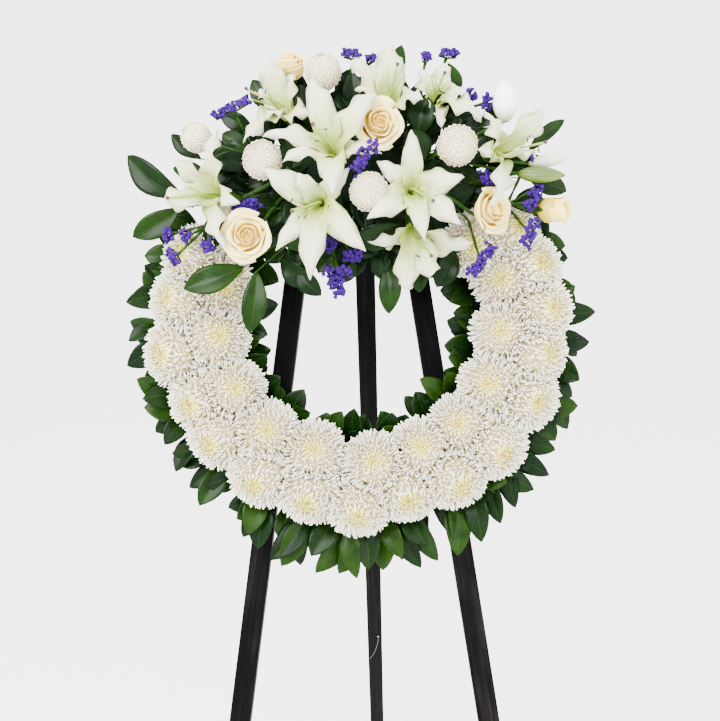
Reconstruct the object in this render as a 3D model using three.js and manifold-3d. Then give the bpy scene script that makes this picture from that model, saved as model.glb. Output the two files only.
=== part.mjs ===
// Funeral wreath of white disbud chrysanthemums with a lily and rose spray, on a folding timber easel.
// Millimetres, +Z up. The wreath faces -Y and leans back with the easel's two front legs.
// Inside the leaning group x runs right, y runs up the wreath and z points out of its face.
import * as THREE from 'three';
import { mergeVertices } from 'three/addons/utils/BufferGeometryUtils.js';
import Module from 'manifold-3d';

const wasm = await Module();
wasm.setup();

// Driving dimensions
const GAP = 0.3; // clearance between touching pieces
const LEAN = THREE.MathUtils.degToRad(10); // front legs and wreath lean back from upright
const RING_TO_FOOT = 1250; // wreath centre to the front feet, along the leaning legs
const LEG_WIDTH = 34;
const TIMBER = 20; // thickness of every leg
const LEG_SPREAD = 0.142; // sideways run of a front leg for each mm down
const LEG_HALF_SPACING = 112; // at the height of the wreath centre
const LEG_TOP = 265;
const RAIL_HEIGHT = 50;
const RAIL_THICK = 18;
const HEAD_RAIL_Y = 195;
const LOWER_RAIL_Y = -235;
const LEG_OPEN = THREE.MathUtils.degToRad(31.5); // rear leg open, measured from the front legs
const HINGE_X = 13;
const HINGE_Y = 182;
const KNUCKLE_R = 4;
const PIN_R = 1.8;
const BACKING = { inner: 188, outer: 300, back: GAP, front: 10 };
const FOAM = { inner: 200, outer: 290, back: BACKING.front + GAP, front: 62 };
const SPRAY_FOAM = { y: 236, halfLength: 130, halfHeight: 50, back: 66.3, front: 112 };
const MUM = { radius: 53, height: 32, seat: 22, lift: 25, stem: 3 };
const OUTER_ROW = { radius: 262, base: 62, tilt: 28 };
const INNER_ROW = { radius: 226, base: 61, tilt: -20 };
const STEM_R = 3;
const CLEAR = 0.6; // clearance round flowers and leaves
const SLIVER = 0.05; // edges finer than this, left by cuts, are merged away

const MATERIALS = {
  timber: finish(0x1b1917, 0.62, 0),
  steel: finish(0x8d8c88, 0.35, 1),
  backing: finish(0x26332a, 0.7, 0),
  foam: finish(0x2f5a35, 0.95, 0),
  mum: finish(0xf2efe0, 0.7, 0),
  pompon: finish(0xefe6d8, 0.75, 0),
  lily: finish(0xf4f5ec, 0.45, 0),
  rose: finish(0xf6e2bf, 0.5, 0),
  statice: finish(0x4a2fb0, 0.7, 0),
  leaf: finish(0x1f4a1c, 0.4, 0),
};

function finish(color, roughness, metalness) {
  return new THREE.MeshStandardMaterial({ color, roughness, metalness });
}

const vec = (x, y, z) => new THREE.Vector3(x, y, z);
const at = ([x, y, z]) => vec(x, y, z);

// Solids: three.js geometry into manifold-3d, which only joins and cuts
function solid(geometry) {
  const g = geometry.clone();
  g.deleteAttribute('normal');
  g.deleteAttribute('uv');
  const merged = mergeVertices(g, 1e-4);
  const vertProperties = new Float32Array(merged.attributes.position.array);
  const triVerts = new Uint32Array(merged.index.array);
  const mesh = new wasm.Mesh({ numProp: 3, vertProperties, triVerts });
  const body = new wasm.Manifold(mesh);
  if (body.volume() > 0) return body;
  triVerts.reverse();
  return new wasm.Manifold(new wasm.Mesh({ numProp: 3, vertProperties, triVerts }));
}

function geometryOf(body) {
  const { vertProperties, triVerts } = body.getMesh();
  const g = new THREE.BufferGeometry();
  g.setAttribute('position', new THREE.BufferAttribute(vertProperties, 3));
  g.setIndex(new THREE.BufferAttribute(triVerts, 1));
  return g;
}

function join(bodies) {
  return bodies.reduce((sum, body) => sum.add(body));
}

// The one body that is left after cutting, without the slivers that cuts leave
function largest(body) {
  const biggest = (whole) => whole.decompose().sort((a, b) => b.volume() - a.volume())[0];
  return biggest(biggest(body).simplify(SLIVER));
}

// A straight round rod or cone between two points
function rod(from, to, startR, endR = startR, sides = 6) {
  const run = to.clone().sub(from);
  const g = new THREE.CylinderGeometry(endR, startR, run.length(), sides);
  const turn = new THREE.Quaternion().setFromUnitVectors(vec(0, 1, 0), run.clone().normalize());
  const place = new THREE.Matrix4().compose(from.clone().addScaledVector(run, 0.5), turn, vec(1, 1, 1));
  return solid(g.applyMatrix4(place));
}

function box(width, height, depth, x, y, z) {
  return solid(new THREE.BoxGeometry(width, height, depth).translate(x, y, z));
}

// A closed lens-section blade along a curve, pointed at its end: a petal or a leaf.
// profile(t) is its half-width, side is its width direction and cup lifts its edges.
function blade({ curve, side, profile, thick, cup = 0, steps = 4 }) {
  const points = [];
  for (let i = 0; i < steps; i++) {
    const t = i / steps;
    const centre = curve.getPoint(t);
    const tangent = curve.getTangent(t);
    const normal = tangent.clone().cross(side).normalize();
    const half = profile(t);
    const rise = cup * half;
    points.push(
      centre.clone().addScaledVector(side, -half).addScaledVector(normal, rise),
      centre.clone().addScaledVector(normal, thick),
      centre.clone().addScaledVector(side, half).addScaledVector(normal, rise),
      centre.clone().addScaledVector(normal, -thick),
    );
  }
  const tip = points.push(curve.getPoint(1)) - 1;
  const index = [0, 1, 2, 0, 2, 3];
  for (let i = 0; i < steps; i++) {
    for (let k = 0; k < 4; k++) {
      const a = 4 * i + k;
      const b = 4 * i + ((k + 1) % 4);
      if (i + 1 === steps) index.push(b, a, tip);
      else index.push(b, a, a + 4, b, a + 4, b + 4);
    }
  }
  const g = new THREE.BufferGeometry().setFromPoints(points);
  g.setIndex(index);
  return solid(g);
}

// A closed star-shaped body about its centre: reach(direction, polar, azimuth) is its radius.
function star(polars, sectors, reach) {
  const points = [];
  const add = (polar, azimuth) => {
    const d = new THREE.Vector3().setFromSphericalCoords(1, polar, azimuth);
    const direction = vec(d.x, d.z, d.y);
    points.push(direction.clone().multiplyScalar(reach(direction, polar, azimuth)));
  };
  add(0, 0);
  polars.forEach((polar, ring) => {
    for (let k = 0; k < sectors; k++) add(polar, ((k + (ring % 2) / 2) * 2 * Math.PI) / sectors);
  });
  add(Math.PI, 0);
  const index = [];
  const last = points.length - 1;
  for (let k = 0; k < sectors; k++) {
    const next = (k + 1) % sectors;
    index.push(0, 1 + k, 1 + next);
    index.push(last, last - sectors + next, last - sectors + k);
    for (let ring = 0; ring + 1 < polars.length; ring++) {
      const a = 1 + ring * sectors + k;
      const b = 1 + ring * sectors + next;
      const lean = ring % 2;
      if (lean) index.push(a, a + sectors, b + sectors, a, b + sectors, b);
      else index.push(a, a + sectors, b, b, a + sectors, b + sectors);
    }
  }
  const g = new THREE.BufferGeometry().setFromPoints(points);
  g.setIndex(index);
  return g;
}

const degrees = (list) => list.map(THREE.MathUtils.degToRad);

function placed(geometry, centre, axis, spin = 0) {
  const turn = new THREE.Quaternion().setFromUnitVectors(vec(0, 0, 1), axis);
  const roll = new THREE.Quaternion().setFromAxisAngle(vec(0, 0, 1), spin);
  return solid(geometry.applyMatrix4(new THREE.Matrix4().compose(centre, turn.multiply(roll), vec(1, 1, 1))));
}

// Easel: two splayed front legs, two rails behind them and a rear leg on a butt hinge
const footZ = RING_TO_FOOT * Math.cos(LEAN);

function ground() {
  const slab = new THREE.BoxGeometry(4000, 4000, 400).translate(0, 0, -footZ - 200);
  return solid(slab.applyMatrix4(new THREE.Matrix4().makeRotationX(LEAN - Math.PI / 2)));
}

function frontLeg(side) {
  const turn = side * Math.atan(LEG_SPREAD);
  const length = (LEG_TOP + RING_TO_FOOT + 60) / Math.cos(turn);
  const bar = new THREE.BoxGeometry(LEG_WIDTH, length, TIMBER);
  bar.translate(0, -length / 2, 0).rotateZ(turn);
  bar.translate(side * (LEG_HALF_SPACING - LEG_SPREAD * LEG_TOP), LEG_TOP, -TIMBER / 2);
  return solid(bar).subtract(ground());
}

function rail(y, overhang) {
  const width = 2 * (LEG_HALF_SPACING - LEG_SPREAD * y) + LEG_WIDTH + overhang;
  return box(width, RAIL_HEIGHT, RAIL_THICK, 0, y, -TIMBER - GAP - RAIL_THICK / 2);
}

const railBack = -TIMBER - GAP - RAIL_THICK;
const pinZ = railBack - GAP - KNUCKLE_R;
const LEAF_THICK = 2;
const LEAF_HALF = 17;

function knuckle(from, to, y, z) {
  return rod(vec(HINGE_X + from, y, z), vec(HINGE_X + to, y, z), KNUCKLE_R, KNUCKLE_R, 12);
}

function pinHole() {
  return rod(vec(HINGE_X - 30, HINGE_Y, pinZ), vec(HINGE_X + 30, HINGE_Y, pinZ), PIN_R + GAP, PIN_R + GAP, 12);
}

function hingePlate() {
  const leafZ = railBack - GAP - LEAF_THICK / 2;
  const leaf = box(2 * LEAF_HALF, 30, LEAF_THICK, HINGE_X, HINGE_Y + KNUCKLE_R + 15, leafZ);
  const necks = [-1, 1].map((s) => box(10.5, 8, LEAF_THICK, HINGE_X + s * 11.75, HINGE_Y + 3, leafZ));
  const barrels = [knuckle(-17, -6.5, HINGE_Y, pinZ), knuckle(6.5, 17, HINGE_Y, pinZ)];
  return join([leaf, ...necks, ...barrels]).subtract(pinHole());
}

// Moving pieces are shaped with the leg folded flat, then swung open about the pin
function swungOpen(body) {
  const turn = new THREE.Matrix4().makeTranslation(0, HINGE_Y, pinZ);
  turn.multiply(new THREE.Matrix4().makeRotationX(LEG_OPEN));
  turn.multiply(new THREE.Matrix4().makeTranslation(0, -HINGE_Y, -pinZ));
  return solid(geometryOf(body).applyMatrix4(turn));
}

function hingeStrap() {
  const leafZ = railBack - GAP - LEAF_THICK / 2;
  const leaf = box(2 * LEAF_HALF, 40, LEAF_THICK, HINGE_X, HINGE_Y - KNUCKLE_R - 21, leafZ);
  const neck = box(12.4, 8, LEAF_THICK, HINGE_X, HINGE_Y - 3, leafZ);
  return swungOpen(join([leaf, neck, knuckle(-6.2, 6.2, HINGE_Y, pinZ)]).subtract(pinHole()));
}

function hingePin() {
  const shank = rod(vec(HINGE_X - 18, HINGE_Y, pinZ), vec(HINGE_X + 18, HINGE_Y, pinZ), PIN_R, PIN_R, 12);
  const heads = [-1, 1].map((s) =>
    rod(vec(HINGE_X + s * 17.3, HINGE_Y, pinZ), vec(HINGE_X + s * 19, HINGE_Y, pinZ), 3.2, 3.2, 12));
  return join([shank, ...heads]);
}

function rearLeg() {
  const front = railBack - GAP - LEAF_THICK - GAP;
  const top = HINGE_Y - KNUCKLE_R - 1;
  const length = 1750;
  const bar = box(LEG_WIDTH, length, TIMBER, HINGE_X, top - length / 2, front - TIMBER / 2);
  return swungOpen(bar).subtract(ground());
}

// Steel hook on the head rail that carries the wreath's backing ring
function hangingHook() {
  const barR = 2.5;
  const armY = BACKING.inner - GAP - barR - 1;
  const path = new THREE.CatmullRomCurve3([
    vec(0, armY + 6, -TIMBER - GAP + 2.5), vec(0, armY, -8), vec(0, armY, 4), vec(0, armY + 1, 13),
    vec(0, armY + 8, 15.5), vec(0, armY + 12, 15.5)]);
  const round = new THREE.Shape().absarc(0, 0, barR, 0, 2 * Math.PI);
  const bar = new THREE.ExtrudeGeometry(round, { steps: 12, extrudePath: path, curveSegments: 4 });
  const plate = box(22, 30, 2, 0, armY + 6, -TIMBER - GAP + 1.3);
  return largest(plate.add(solid(bar)));
}

// Wreath base: a flat backing ring under a half-round ring of wet foam
function ringBody(profile, segments) {
  const closed = profile.map(([r, z]) => new THREE.Vector2(r, z));
  closed.push(closed[0].clone());
  return solid(new THREE.LatheGeometry(closed, segments).rotateX(Math.PI / 2));
}

function backingRing() {
  const { inner, outer, back, front } = BACKING;
  return ringBody([[inner, back], [outer, back], [outer, front], [inner, front]], 48);
}

function foamRing(grow) {
  const inner = FOAM.inner - grow;
  const outer = FOAM.outer + grow;
  const front = FOAM.front + grow;
  return ringBody([[inner, FOAM.back], [outer, FOAM.back], [outer, front - 27], [outer - 12, front - 8],
    [outer - 32, front], [inner + 32, front], [inner + 12, front - 8], [inner, front - 27]], 36);
}

function sprayFoam(grow) {
  const { y, halfLength, halfHeight, back, front } = SPRAY_FOAM;
  const profile = [[0, 0], [1, 0], [0.97, 0.45], [0.8, 0.8], [0.5, 0.97], [0, 1]];
  const dome = new THREE.LatheGeometry(profile.map(([r, h]) => new THREE.Vector2(r, h)), 20);
  dome.rotateX(Math.PI / 2).scale(halfLength + grow, halfHeight + grow, front - back + grow);
  return solid(dome.translate(0, y, back));
}

// Disbud chrysanthemums: [angle round the ring in degrees, step in or out from the row]
const OUTER_MUMS = [[157, -6], [171, -4], [188, 11], [205, -10], [218, -5], [237, -2], [254, -11], [270, 4],
  [286, -13], [302, 2], [318, 10], [336, 15], [350, 3], [3.5, 13], [17, 9], [30, -8]];
const INNER_MUMS = [[163, -4], [184, -4], [207, -6], [229, -6], [251, -16], [277, -3], [297, -1], [315, 7],
  [335, 12], [356, 10], [16, 26]];

function mumPlace({ radius, base, tilt }, angle, step) {
  const a = THREE.MathUtils.degToRad(angle);
  const lean = THREE.MathUtils.degToRad(tilt);
  const outward = vec(Math.cos(a), Math.sin(a), 0);
  const axis = outward.clone().multiplyScalar(Math.sin(lean)).add(vec(0, 0, Math.cos(lean)));
  const seat = outward.clone().multiplyScalar(radius + 0.7 * step).add(vec(0, 0, base));
  return { axis, seat, centre: seat.clone().addScaledVector(axis, MUM.lift), phase: angle };
}

const mums = [
  ...OUTER_MUMS.map(([angle, step]) => mumPlace(OUTER_ROW, angle, step)),
  ...INNER_MUMS.map(([angle, step]) => mumPlace(INNER_ROW, angle, step)),
];

// A flower head pressed flat against its neighbours and seated on the foam, with its stem stub
function mumHead(mum, grow) {
  const turn = new THREE.Quaternion().setFromUnitVectors(vec(0, 0, 1), mum.axis);
  const walls = mums.filter((other) => other !== mum && other.centre.distanceTo(mum.centre) < 2 * MUM.radius)
    .map((other) => {
      const run = other.centre.clone().sub(mum.centre);
      return { normal: run.clone().normalize(), far: (run.length() - GAP) / 2 };
    });
  walls.push({ normal: mum.axis.clone().negate(), far: MUM.seat });
  const head = star(degrees([28, 56, 84, 118]), 10, (direction, polar, azimuth) => {
    const facing = direction.clone().applyQuaternion(turn);
    const ripple = 1 + 0.035 * Math.cos(6 * azimuth + mum.phase) * Math.sin(polar);
    const round = ripple / Math.hypot(Math.sin(polar) / MUM.radius, Math.cos(polar) / MUM.height);
    const pressed = walls.map(({ normal, far }) => {
      const towards = facing.dot(normal);
      return towards > 0 ? far / towards : Infinity;
    });
    return Math.min(round, ...pressed) + grow;
  });
  const deep = mum.seat.clone().addScaledVector(mum.axis, -4);
  const shank = rod(deep, mum.centre, MUM.stem + grow, MUM.stem + grow, 4);
  return placed(head, mum.centre, mum.axis).add(shank);
}

// Pompon chrysanthemums: [x, y, z of the ball, radius, x and y where the stem enters the foam]
const POMPONS = {
  pompon_top: [-40, 370, 125, 27, -30, 268],
  pompon_far_left: [-230, 280, 120, 23, -112, 240],
  pompon_left: [-125, 230, 172, 28, -92, 232],
  pompon_right: [150, 245, 168, 29, 96, 240],
  pompon_centre: [25, 180, 180, 28, 22, 212],
};

function pompon([x, y, z, radius, footX, footY], grow) {
  const ball = new THREE.IcosahedronGeometry(radius + grow, 1).translate(x, y, z);
  return solid(ball).add(rod(vec(footX, footY, 78), vec(x, y, z), STEM_R - 0.5 + grow));
}

// Roses: [x, y, z of the bloom, radius, length, facing direction, stem foot x and y]
const ROSES = {
  rose_top: [-90, 385, 115, 22, 30, [-0.1, 0.75, 0.6], -62, 262],
  rose_upper: [40, 280, 165, 31, 30, [0.25, -0.05, 0.95], 30, 250],
  rose_left: [-150, 125, 165, 32, 28, [0, -0.05, 1], -100, 205],
  rose_right: [200, 155, 150, 29, 32, [0.65, -0.05, 0.75], 102, 214],
  rose_bud: [295, 158, 130, 22, 30, [0.95, -0.1, 0.3], 118, 226],
};

function rose([x, y, z, radius, length, facing, footX, footY], grow) {
  const centre = vec(x, y, z);
  const axis = at(facing).normalize();
  const petals = (direction, polar, azimuth) => {
    const round = 1 / Math.hypot(Math.sin(polar) / radius, Math.cos(polar) / length);
    const open = polar < 0.2 ? 0.86 : polar < 0.5 ? 0.72 : 1;
    const lobe = 1 + 0.07 * Math.cos(5 * azimuth) * Math.sin(polar);
    const taper = polar > 2.2 ? 0.8 : 1;
    return round * open * lobe * taper + grow;
  };
  const bloom = placed(star(degrees([22, 46, 72, 108, 145]), 9, petals), centre, axis, x);
  const neck = centre.clone().addScaledVector(axis, -length - 8);
  const calyx = rod(neck, centre, 5 + grow, 9 + grow, 6);
  return join([bloom, calyx, rod(vec(footX, footY, 80), neck.addScaledVector(axis, 4), STEM_R + grow)]);
}

// Oriental lilies. Each bloom: throat, facing direction, stem foot and its petal tips, widest first
const LILIES = {
  lily_stem_centre: [
    {
      throat: [-25, 240, 165], faces: [-0.05, 0.35, 0.93], foot: [-36, 244, 118], pistil: [-50, 268, 205],
      tips: [[-55, 345, 175], [40, 320, 180], [-25, 170, 212], [-125, 262, 185], [45, 235, 178], [-95, 220, 200]],
    },
    {
      throat: [-45, 170, 160], faces: [-0.1, -0.1, 1], foot: [-36, 244, 118], pistil: [-80, 150, 205],
      tips: [[-125, 215, 190], [-60, 55, 190], [20, 95, 185], [-110, 100, 175], [0, 215, 187], [-75, 205, 200]],
    },
    {
      throat: [-95, 310, 125], faces: [-0.3, 0.6, 0.7], foot: [-36, 244, 118], pistil: [-148, 335, 160],
      tips: [[-120, 380, 140], [-60, 300, 150], [-160, 265, 140], [-80, 365, 135], [-135, 335, 145],
        [-120, 295, 155]],
    },
  ],
  lily_stem_left: [
    {
      throat: [-190, 190, 140], faces: [-0.7, 0.05, 0.7], foot: [-116, 214, 108], pistil: [-258, 178, 180],
      tips: [[-190, 280, 165], [-265, 175, 170], [-180, 105, 180], [-250, 240, 160], [-155, 165, 195],
        [-175, 145, 150]],
    },
  ],
  lily_stem_lower: [
    {
      throat: [85, 185, 160], faces: [0, 0, 1], foot: [64, 212, 116], pistil: [112, 160, 205],
      tips: [[160, 200, 175], [20, 140, 190], [155, 130, 180], [85, 265, 190], [35, 225, 178], [100, 105, 205]],
    },
    {
      throat: [85, 135, 135], faces: [0.1, -0.75, 0.6], foot: [64, 212, 116], pistil: [110, 90, 180],
      tips: [[70, 45, 150], [175, 110, 150], [115, 65, 165], [20, 115, 140]],
    },
  ],
  lily_stem_top: [
    {
      throat: [55, 315, 125], faces: [0.05, 0.55, 0.8], foot: [46, 268, 114], pistil: [68, 362, 165],
      tips: [[55, 405, 135], [105, 315, 160], [-5, 380, 140], [75, 390, 125], [5, 335, 150], [50, 268, 150]],
    },
    {
      throat: [120, 325, 115], faces: [0.3, 0.5, 0.8], foot: [46, 268, 114], pistil: [135, 352, 155],
      tips: [[190, 285, 145], [100, 370, 125], [170, 330, 135], [140, 380, 120], [132, 280, 140]],
    },
  ],
  lily_stem_right: [
    {
      throat: [210, 240, 135], faces: [0.75, 0.1, 0.65], foot: [118, 250, 104], pistil: [272, 246, 170],
      tips: [[190, 295, 165], [195, 155, 180], [275, 305, 145], [255, 230, 175], [180, 240, 165]],
    },
  ],
};

// Unopened lily buds on the right-hand stem: [base, tip, radius]
const LILY_BUDS = [
  [[225, 288, 128], [220, 345, 140], 17],
  [[240, 212, 130], [305, 205, 145], 11],
  [[258, 228, 122], [316, 235, 132], 9],
];

function petalCurve(throat, axis, tip) {
  const reach = tip.clone().sub(throat);
  const along = reach.dot(axis);
  const out = reach.clone().addScaledVector(axis, -along);
  const span = out.length();
  out.normalize();
  const length = reach.length();
  const point = (o, a) => throat.clone().addScaledVector(out, o).addScaledVector(axis, a);
  const curve = new THREE.CubicBezierCurve3(
    point(2, -14), point(0.2 * length, 0.3 * length), point(0.72 * span, along + 0.36 * length), tip);
  return { curve, side: axis.clone().cross(out).normalize() };
}

function lilyBloom({ throat, faces, foot, pistil, tips }, grow) {
  const centre = at(throat);
  const axis = at(faces).normalize();
  const bulb = centre.clone().addScaledVector(axis, -34);
  const parts = [
    rod(bulb, centre.clone().addScaledVector(axis, -4), 4 + grow, 9 + grow, 6),
    rod(at(foot), bulb, STEM_R + grow, STEM_R + grow, 4),
    rod(vec(foot[0] * 0.92, foot[1], 84), at(foot), STEM_R + grow, STEM_R + grow, 4),
    rod(centre.clone().addScaledVector(axis, -10), at(pistil), 1.6 + grow, 2.2 + grow, 4),
  ];
  tips.forEach((tip, k) => {
    const { curve, side } = petalCurve(centre, axis, at(tip));
    const half = k < 3 ? 18 : 14;
    const profile = (t) => 3 + grow + (half - 3) * Math.sin(Math.PI * t ** 0.9) ** 0.8;
    parts.push(blade({ curve, side, profile, thick: 1.8 + grow, cup: 0.18, steps: 4 }));
  });
  return join(parts);
}

function lilyStem(name, grow) {
  const parts = LILIES[name].map((bloom) => lilyBloom(bloom, grow));
  if (name === 'lily_stem_right') {
    for (const [base, tip, radius] of LILY_BUDS) {
      const root = at(base);
      const end = at(tip);
      const run = end.clone().sub(root);
      const bud = new THREE.SphereGeometry(1, 8, 6).scale(radius + grow, run.length() / 2 + grow, radius + grow);
      const turn = new THREE.Quaternion().setFromUnitVectors(vec(0, 1, 0), run.clone().normalize());
      bud.applyMatrix4(new THREE.Matrix4().compose(root.clone().addScaledVector(run, 0.5), turn, vec(1, 1, 1)));
      parts.push(solid(bud), rod(at(LILIES[name][0].foot), root.addScaledVector(run, 0.1), STEM_R - 0.5 + grow));
    }
  }
  return join(parts);
}

// Statice: branching green stems that end in combs of small violet flowers, [start, end] of each comb
const STATICE = {
  statice_left: {
    root: [-130, 205, 74],
    twigs: [
      { fork: [-160, 290, 112], combs: [[[-200, 305, 140], [-148, 330, 138]]] },
      { fork: [-150, 190, 118], combs: [[[-168, 160, 160], [-132, 172, 160]]] },
      {
        fork: [-215, 150, 118],
        combs: [[[-275, 140, 140], [-268, 126, 142]], [[-268, 108, 145], [-255, 88, 147]],
          [[-245, 134, 145], [-240, 124, 146]], [[-212, 120, 150], [-206, 106, 150]]],
      },
      {
        fork: [-44, 172, 72],
        combs: [[[-38, 118, 140], [-28, 108, 140]], [[-14, 98, 142], [12, 94, 142]],
          [[-40, 72, 150], [-4, 72, 150]], [[-36, 56, 150], [-14, 56, 150]], [[-22, 44, 150], [-20, 40, 150]]],
      },
    ],
  },
  statice_top: {
    root: [0, 296, 72],
    twigs: [
      { fork: [-2, 330, 92], combs: [[[-10, 402, 118], [14, 400, 118]], [[26, 392, 118], [36, 392, 118]]] },
      {
        fork: [92, 306, 80],
        combs: [[[108, 395, 112], [118, 396, 112]], [[134, 402, 112], [160, 398, 112]],
          [[176, 334, 112], [184, 338, 112]], [[198, 312, 126], [202, 328, 126]]],
      },
      { fork: [8, 292, 124], combs: [[[34, 244, 194], [4, 204, 194]]] },
    ],
  },
  statice_right: {
    root: [132, 208, 76],
    twigs: [
      { fork: [170, 205, 110], combs: [[[190, 212, 152], [198, 192, 152]]] },
      {
        fork: [228, 172, 104],
        combs: [[[264, 182, 148], [250, 156, 148]], [[262, 140, 150], [246, 104, 150]],
          [[262, 240, 124], [258, 238, 124]], [[274, 196, 130], [268, 194, 130]]],
      },
      { fork: [170, 150, 112], combs: [[[198, 104, 158], [166, 62, 158]]] },
    ],
  },
};

function staticeStem(name, grow) {
  const { root, twigs } = STATICE[name];
  const parts = [];
  for (const { fork, combs } of twigs) {
    parts.push(rod(at(root), at(fork), 1.8 + grow, 1.6 + grow, 4));
    for (const [start, end] of combs) {
      const run = at(end).sub(at(start));
      const length = run.length() + 12;
      const middle = at(start).addScaledVector(run, 0.5);
      const turn = new THREE.Quaternion().setFromUnitVectors(vec(0, 1, 0), run.normalize());
      const comb = new THREE.IcosahedronGeometry(1, 0).scale(8 + grow, length / 2 + grow, 7 + grow);
      comb.applyMatrix4(new THREE.Matrix4().compose(middle, turn, vec(1, 1, 1)));
      parts.push(rod(at(fork), middle, 1.6 + grow, 1.4 + grow, 4), solid(comb));
    }
  }
  return join(parts);
}

// A glossy pointed leaf with its face to the front: the points of its stalk, then its tip
function leaf(stalk, tip, width, grow) {
  const from = stalk[stalk.length - 1];
  const run = tip.clone().sub(from);
  const side = run.clone().cross(vec(0, 0, 1)).normalize();
  const arch = side.clone().cross(run).multiplyScalar(0.07);
  const shoulders = [0.3, 0.68].map((t) => from.clone().addScaledVector(run, t).add(arch));
  const curve = new THREE.CatmullRomCurve3([...stalk, ...shoulders, tip]);
  const steps = stalk.length + shoulders.length;
  const halves = [...stalk.map(() => 1.2), width * 0.5, width * 0.42];
  const profile = (t) => halves[Math.round(t * steps)] + grow;
  return blade({ curve, side, profile, thick: 1.1 + grow, cup: 0.16, steps });
}

// Leaves round the wreath: [angle in degrees and distance of each tip from the wreath's centre]
const OUTER_LEAVES = [[151, 335], [163, 345], [173, 355], [178, 360], [189, 365], [198, 350], [207, 360],
  [214, 352], [228, 370], [234, 352], [241, 375], [252, 390], [257, 352], [265, 388], [272, 378], [280, 375],
  [288, 388], [299, 385], [304, 355], [310, 375], [321, 375], [329, 360], [339, 365], [345, 352], [355, 365],
  [2, 370], [9, 340], [20, 350], [30, 340], [60, 335], [80, 338], [100, 335], [120, 335]];
const INNER_LEAVES = [[164, 128], [185, 140], [198, 146], [212, 160], [233, 156], [249, 160], [263, 164],
  [273, 166], [284, 164], [298, 160], [312, 160], [331, 160], [346, 142], [2, 142], [18, 142], [40, 150],
  [70, 150], [100, 155], [135, 150]];

function collarTwig(radius, z, grow) {
  const size = 1.5 + grow;
  return ringBody([[radius - size, z - size], [radius + size, z - size], [radius, z + size]], 36);
}

function collar(tips, twigRadius, twigZ, grow) {
  const outward = Math.sign(tips[0][1] - twigRadius);
  const leaves = tips.map(([angle, distance], k) => {
    const skew = outward * (k % 2 ? 5 : -4);
    const tipZ = twigZ + 14 + 12 * (k % 3);
    const root = THREE.MathUtils.degToRad(angle + skew);
    const aim = THREE.MathUtils.degToRad(angle);
    const from = vec(twigRadius * Math.cos(root), twigRadius * Math.sin(root), twigZ);
    const to = vec(distance * Math.cos(aim), distance * Math.sin(aim), tipZ);
    return leaf([from], to, 34, grow);
  });
  return join([collarTwig(twigRadius, twigZ, grow), ...leaves]);
}

// Leaves of the spray: [stalk end, tip, width]. Their stalks spring from a flat bed under the spray foam
const SPRAY_LEAVES = [
  [[-255, 195, 100], [-340, 260, 104], 42], [[-262, 180, 98], [-335, 138, 100], 38],
  [[-230, 255, 92], [-275, 292, 96], 24], [[-215, 215, 96], [-272, 242, 98], 30],
  [[-158, 84, 140], [-246, 54, 150], 42], [[-140, 78, 140], [-152, -12, 146], 36],
  [[100, 272, 124], [112, 326, 134], 44], [[96, 284, 128], [102, 232, 138], 40],
  [[155, 328, 100], [146, 386, 106], 22], [[262, 252, 100], [316, 297, 106], 20],
  [[262, 214, 98], [318, 192, 102], 34], [[-84, 88, 110], [-50, 42, 118], 30],
  [[48, 92, 104], [50, 14, 110], 34], [[96, 96, 112], [96, 44, 122], 28],
  [[-160, 262, 100], [-208, 250, 112], 36], [[-150, 262, 104], [-195, 290, 104], 34],
  [[-8, 122, 130], [72, 136, 146], 38], [[150, 108, 108], [122, 52, 112], 36],
  [[0, 340, 88], [22, 372, 92], 34], [[-110, 100, 108], [-62, 58, 112], 34],
  [[165, 262, 116], [204, 238, 124], 40], [[235, 222, 108], [288, 236, 112], 26],
  [[235, 172, 104], [292, 168, 104], 34], [[5, 112, 112], [-40, 86, 118], 32],
  [[-175, 190, 104], [-225, 110, 108], 34], [[215, 130, 104], [258, 60, 104], 32],
  [[-120, 320, 92], [-150, 372, 96], 30], [[190, 290, 100], [236, 322, 104], 28],
  [[60, 352, 86], [78, 420, 92], 26], [[-60, 340, 84], [-100, 398, 88], 28],
];

function sprayLeaves(grow) {
  const { y, back } = SPRAY_FOAM;
  const bedZ = back - GAP - 1.2;
  const bed = solid(new THREE.CylinderGeometry(1, 1, 2.4 + 2 * grow, 24).rotateX(Math.PI / 2)
    .scale(124 + grow, 44 + grow, 1).translate(0, y, bedZ));
  const parts = [bed];
  for (const [from, to, width] of SPRAY_LEAVES) {
    const stalkEnd = at(from);
    const spread = Math.atan2((stalkEnd.y - y) / 44, stalkEnd.x / 124);
    const root = vec(118 * Math.cos(spread), y + 38 * Math.sin(spread), bedZ);
    const knee = vec(140 * Math.cos(spread), y + 60 * Math.sin(spread), bedZ);
    parts.push(leaf([root, knee, stalkEnd], at(to), width, grow));
  }
  return join(parts);
}

// Pieces in the order in which they claim space: a later one is cut clear of every earlier one
const recipes = [
  ['front_leg_left', 'timber', () => frontLeg(-1)],
  ['front_leg_right', 'timber', () => frontLeg(1)],
  ['head_rail', 'timber', () => rail(HEAD_RAIL_Y, 20)],
  ['lower_rail', 'timber', () => rail(LOWER_RAIL_Y, 10)],
  ['rear_leg', 'timber', () => rearLeg()],
  ['hinge_plate', 'steel', () => hingePlate()],
  ['hinge_strap', 'steel', () => hingeStrap()],
  ['hinge_pin', 'steel', () => hingePin()],
  ['hanging_hook', 'steel', () => hangingHook()],
  ['backing_ring', 'backing', () => backingRing()],
  ['foam_ring', 'foam', (grow) => foamRing(grow)],
  ['spray_foam', 'foam', (grow) => sprayFoam(grow)],
];
mums.forEach((mum, k) => {
  const row = k < OUTER_MUMS.length ? 'outer' : 'inner';
  const count = row === 'outer' ? k + 1 : k + 1 - OUTER_MUMS.length;
  recipes.push([`mum_${row}_${String(count).padStart(2, '0')}`, 'mum', (grow) => mumHead(mum, grow)]);
});
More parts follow.
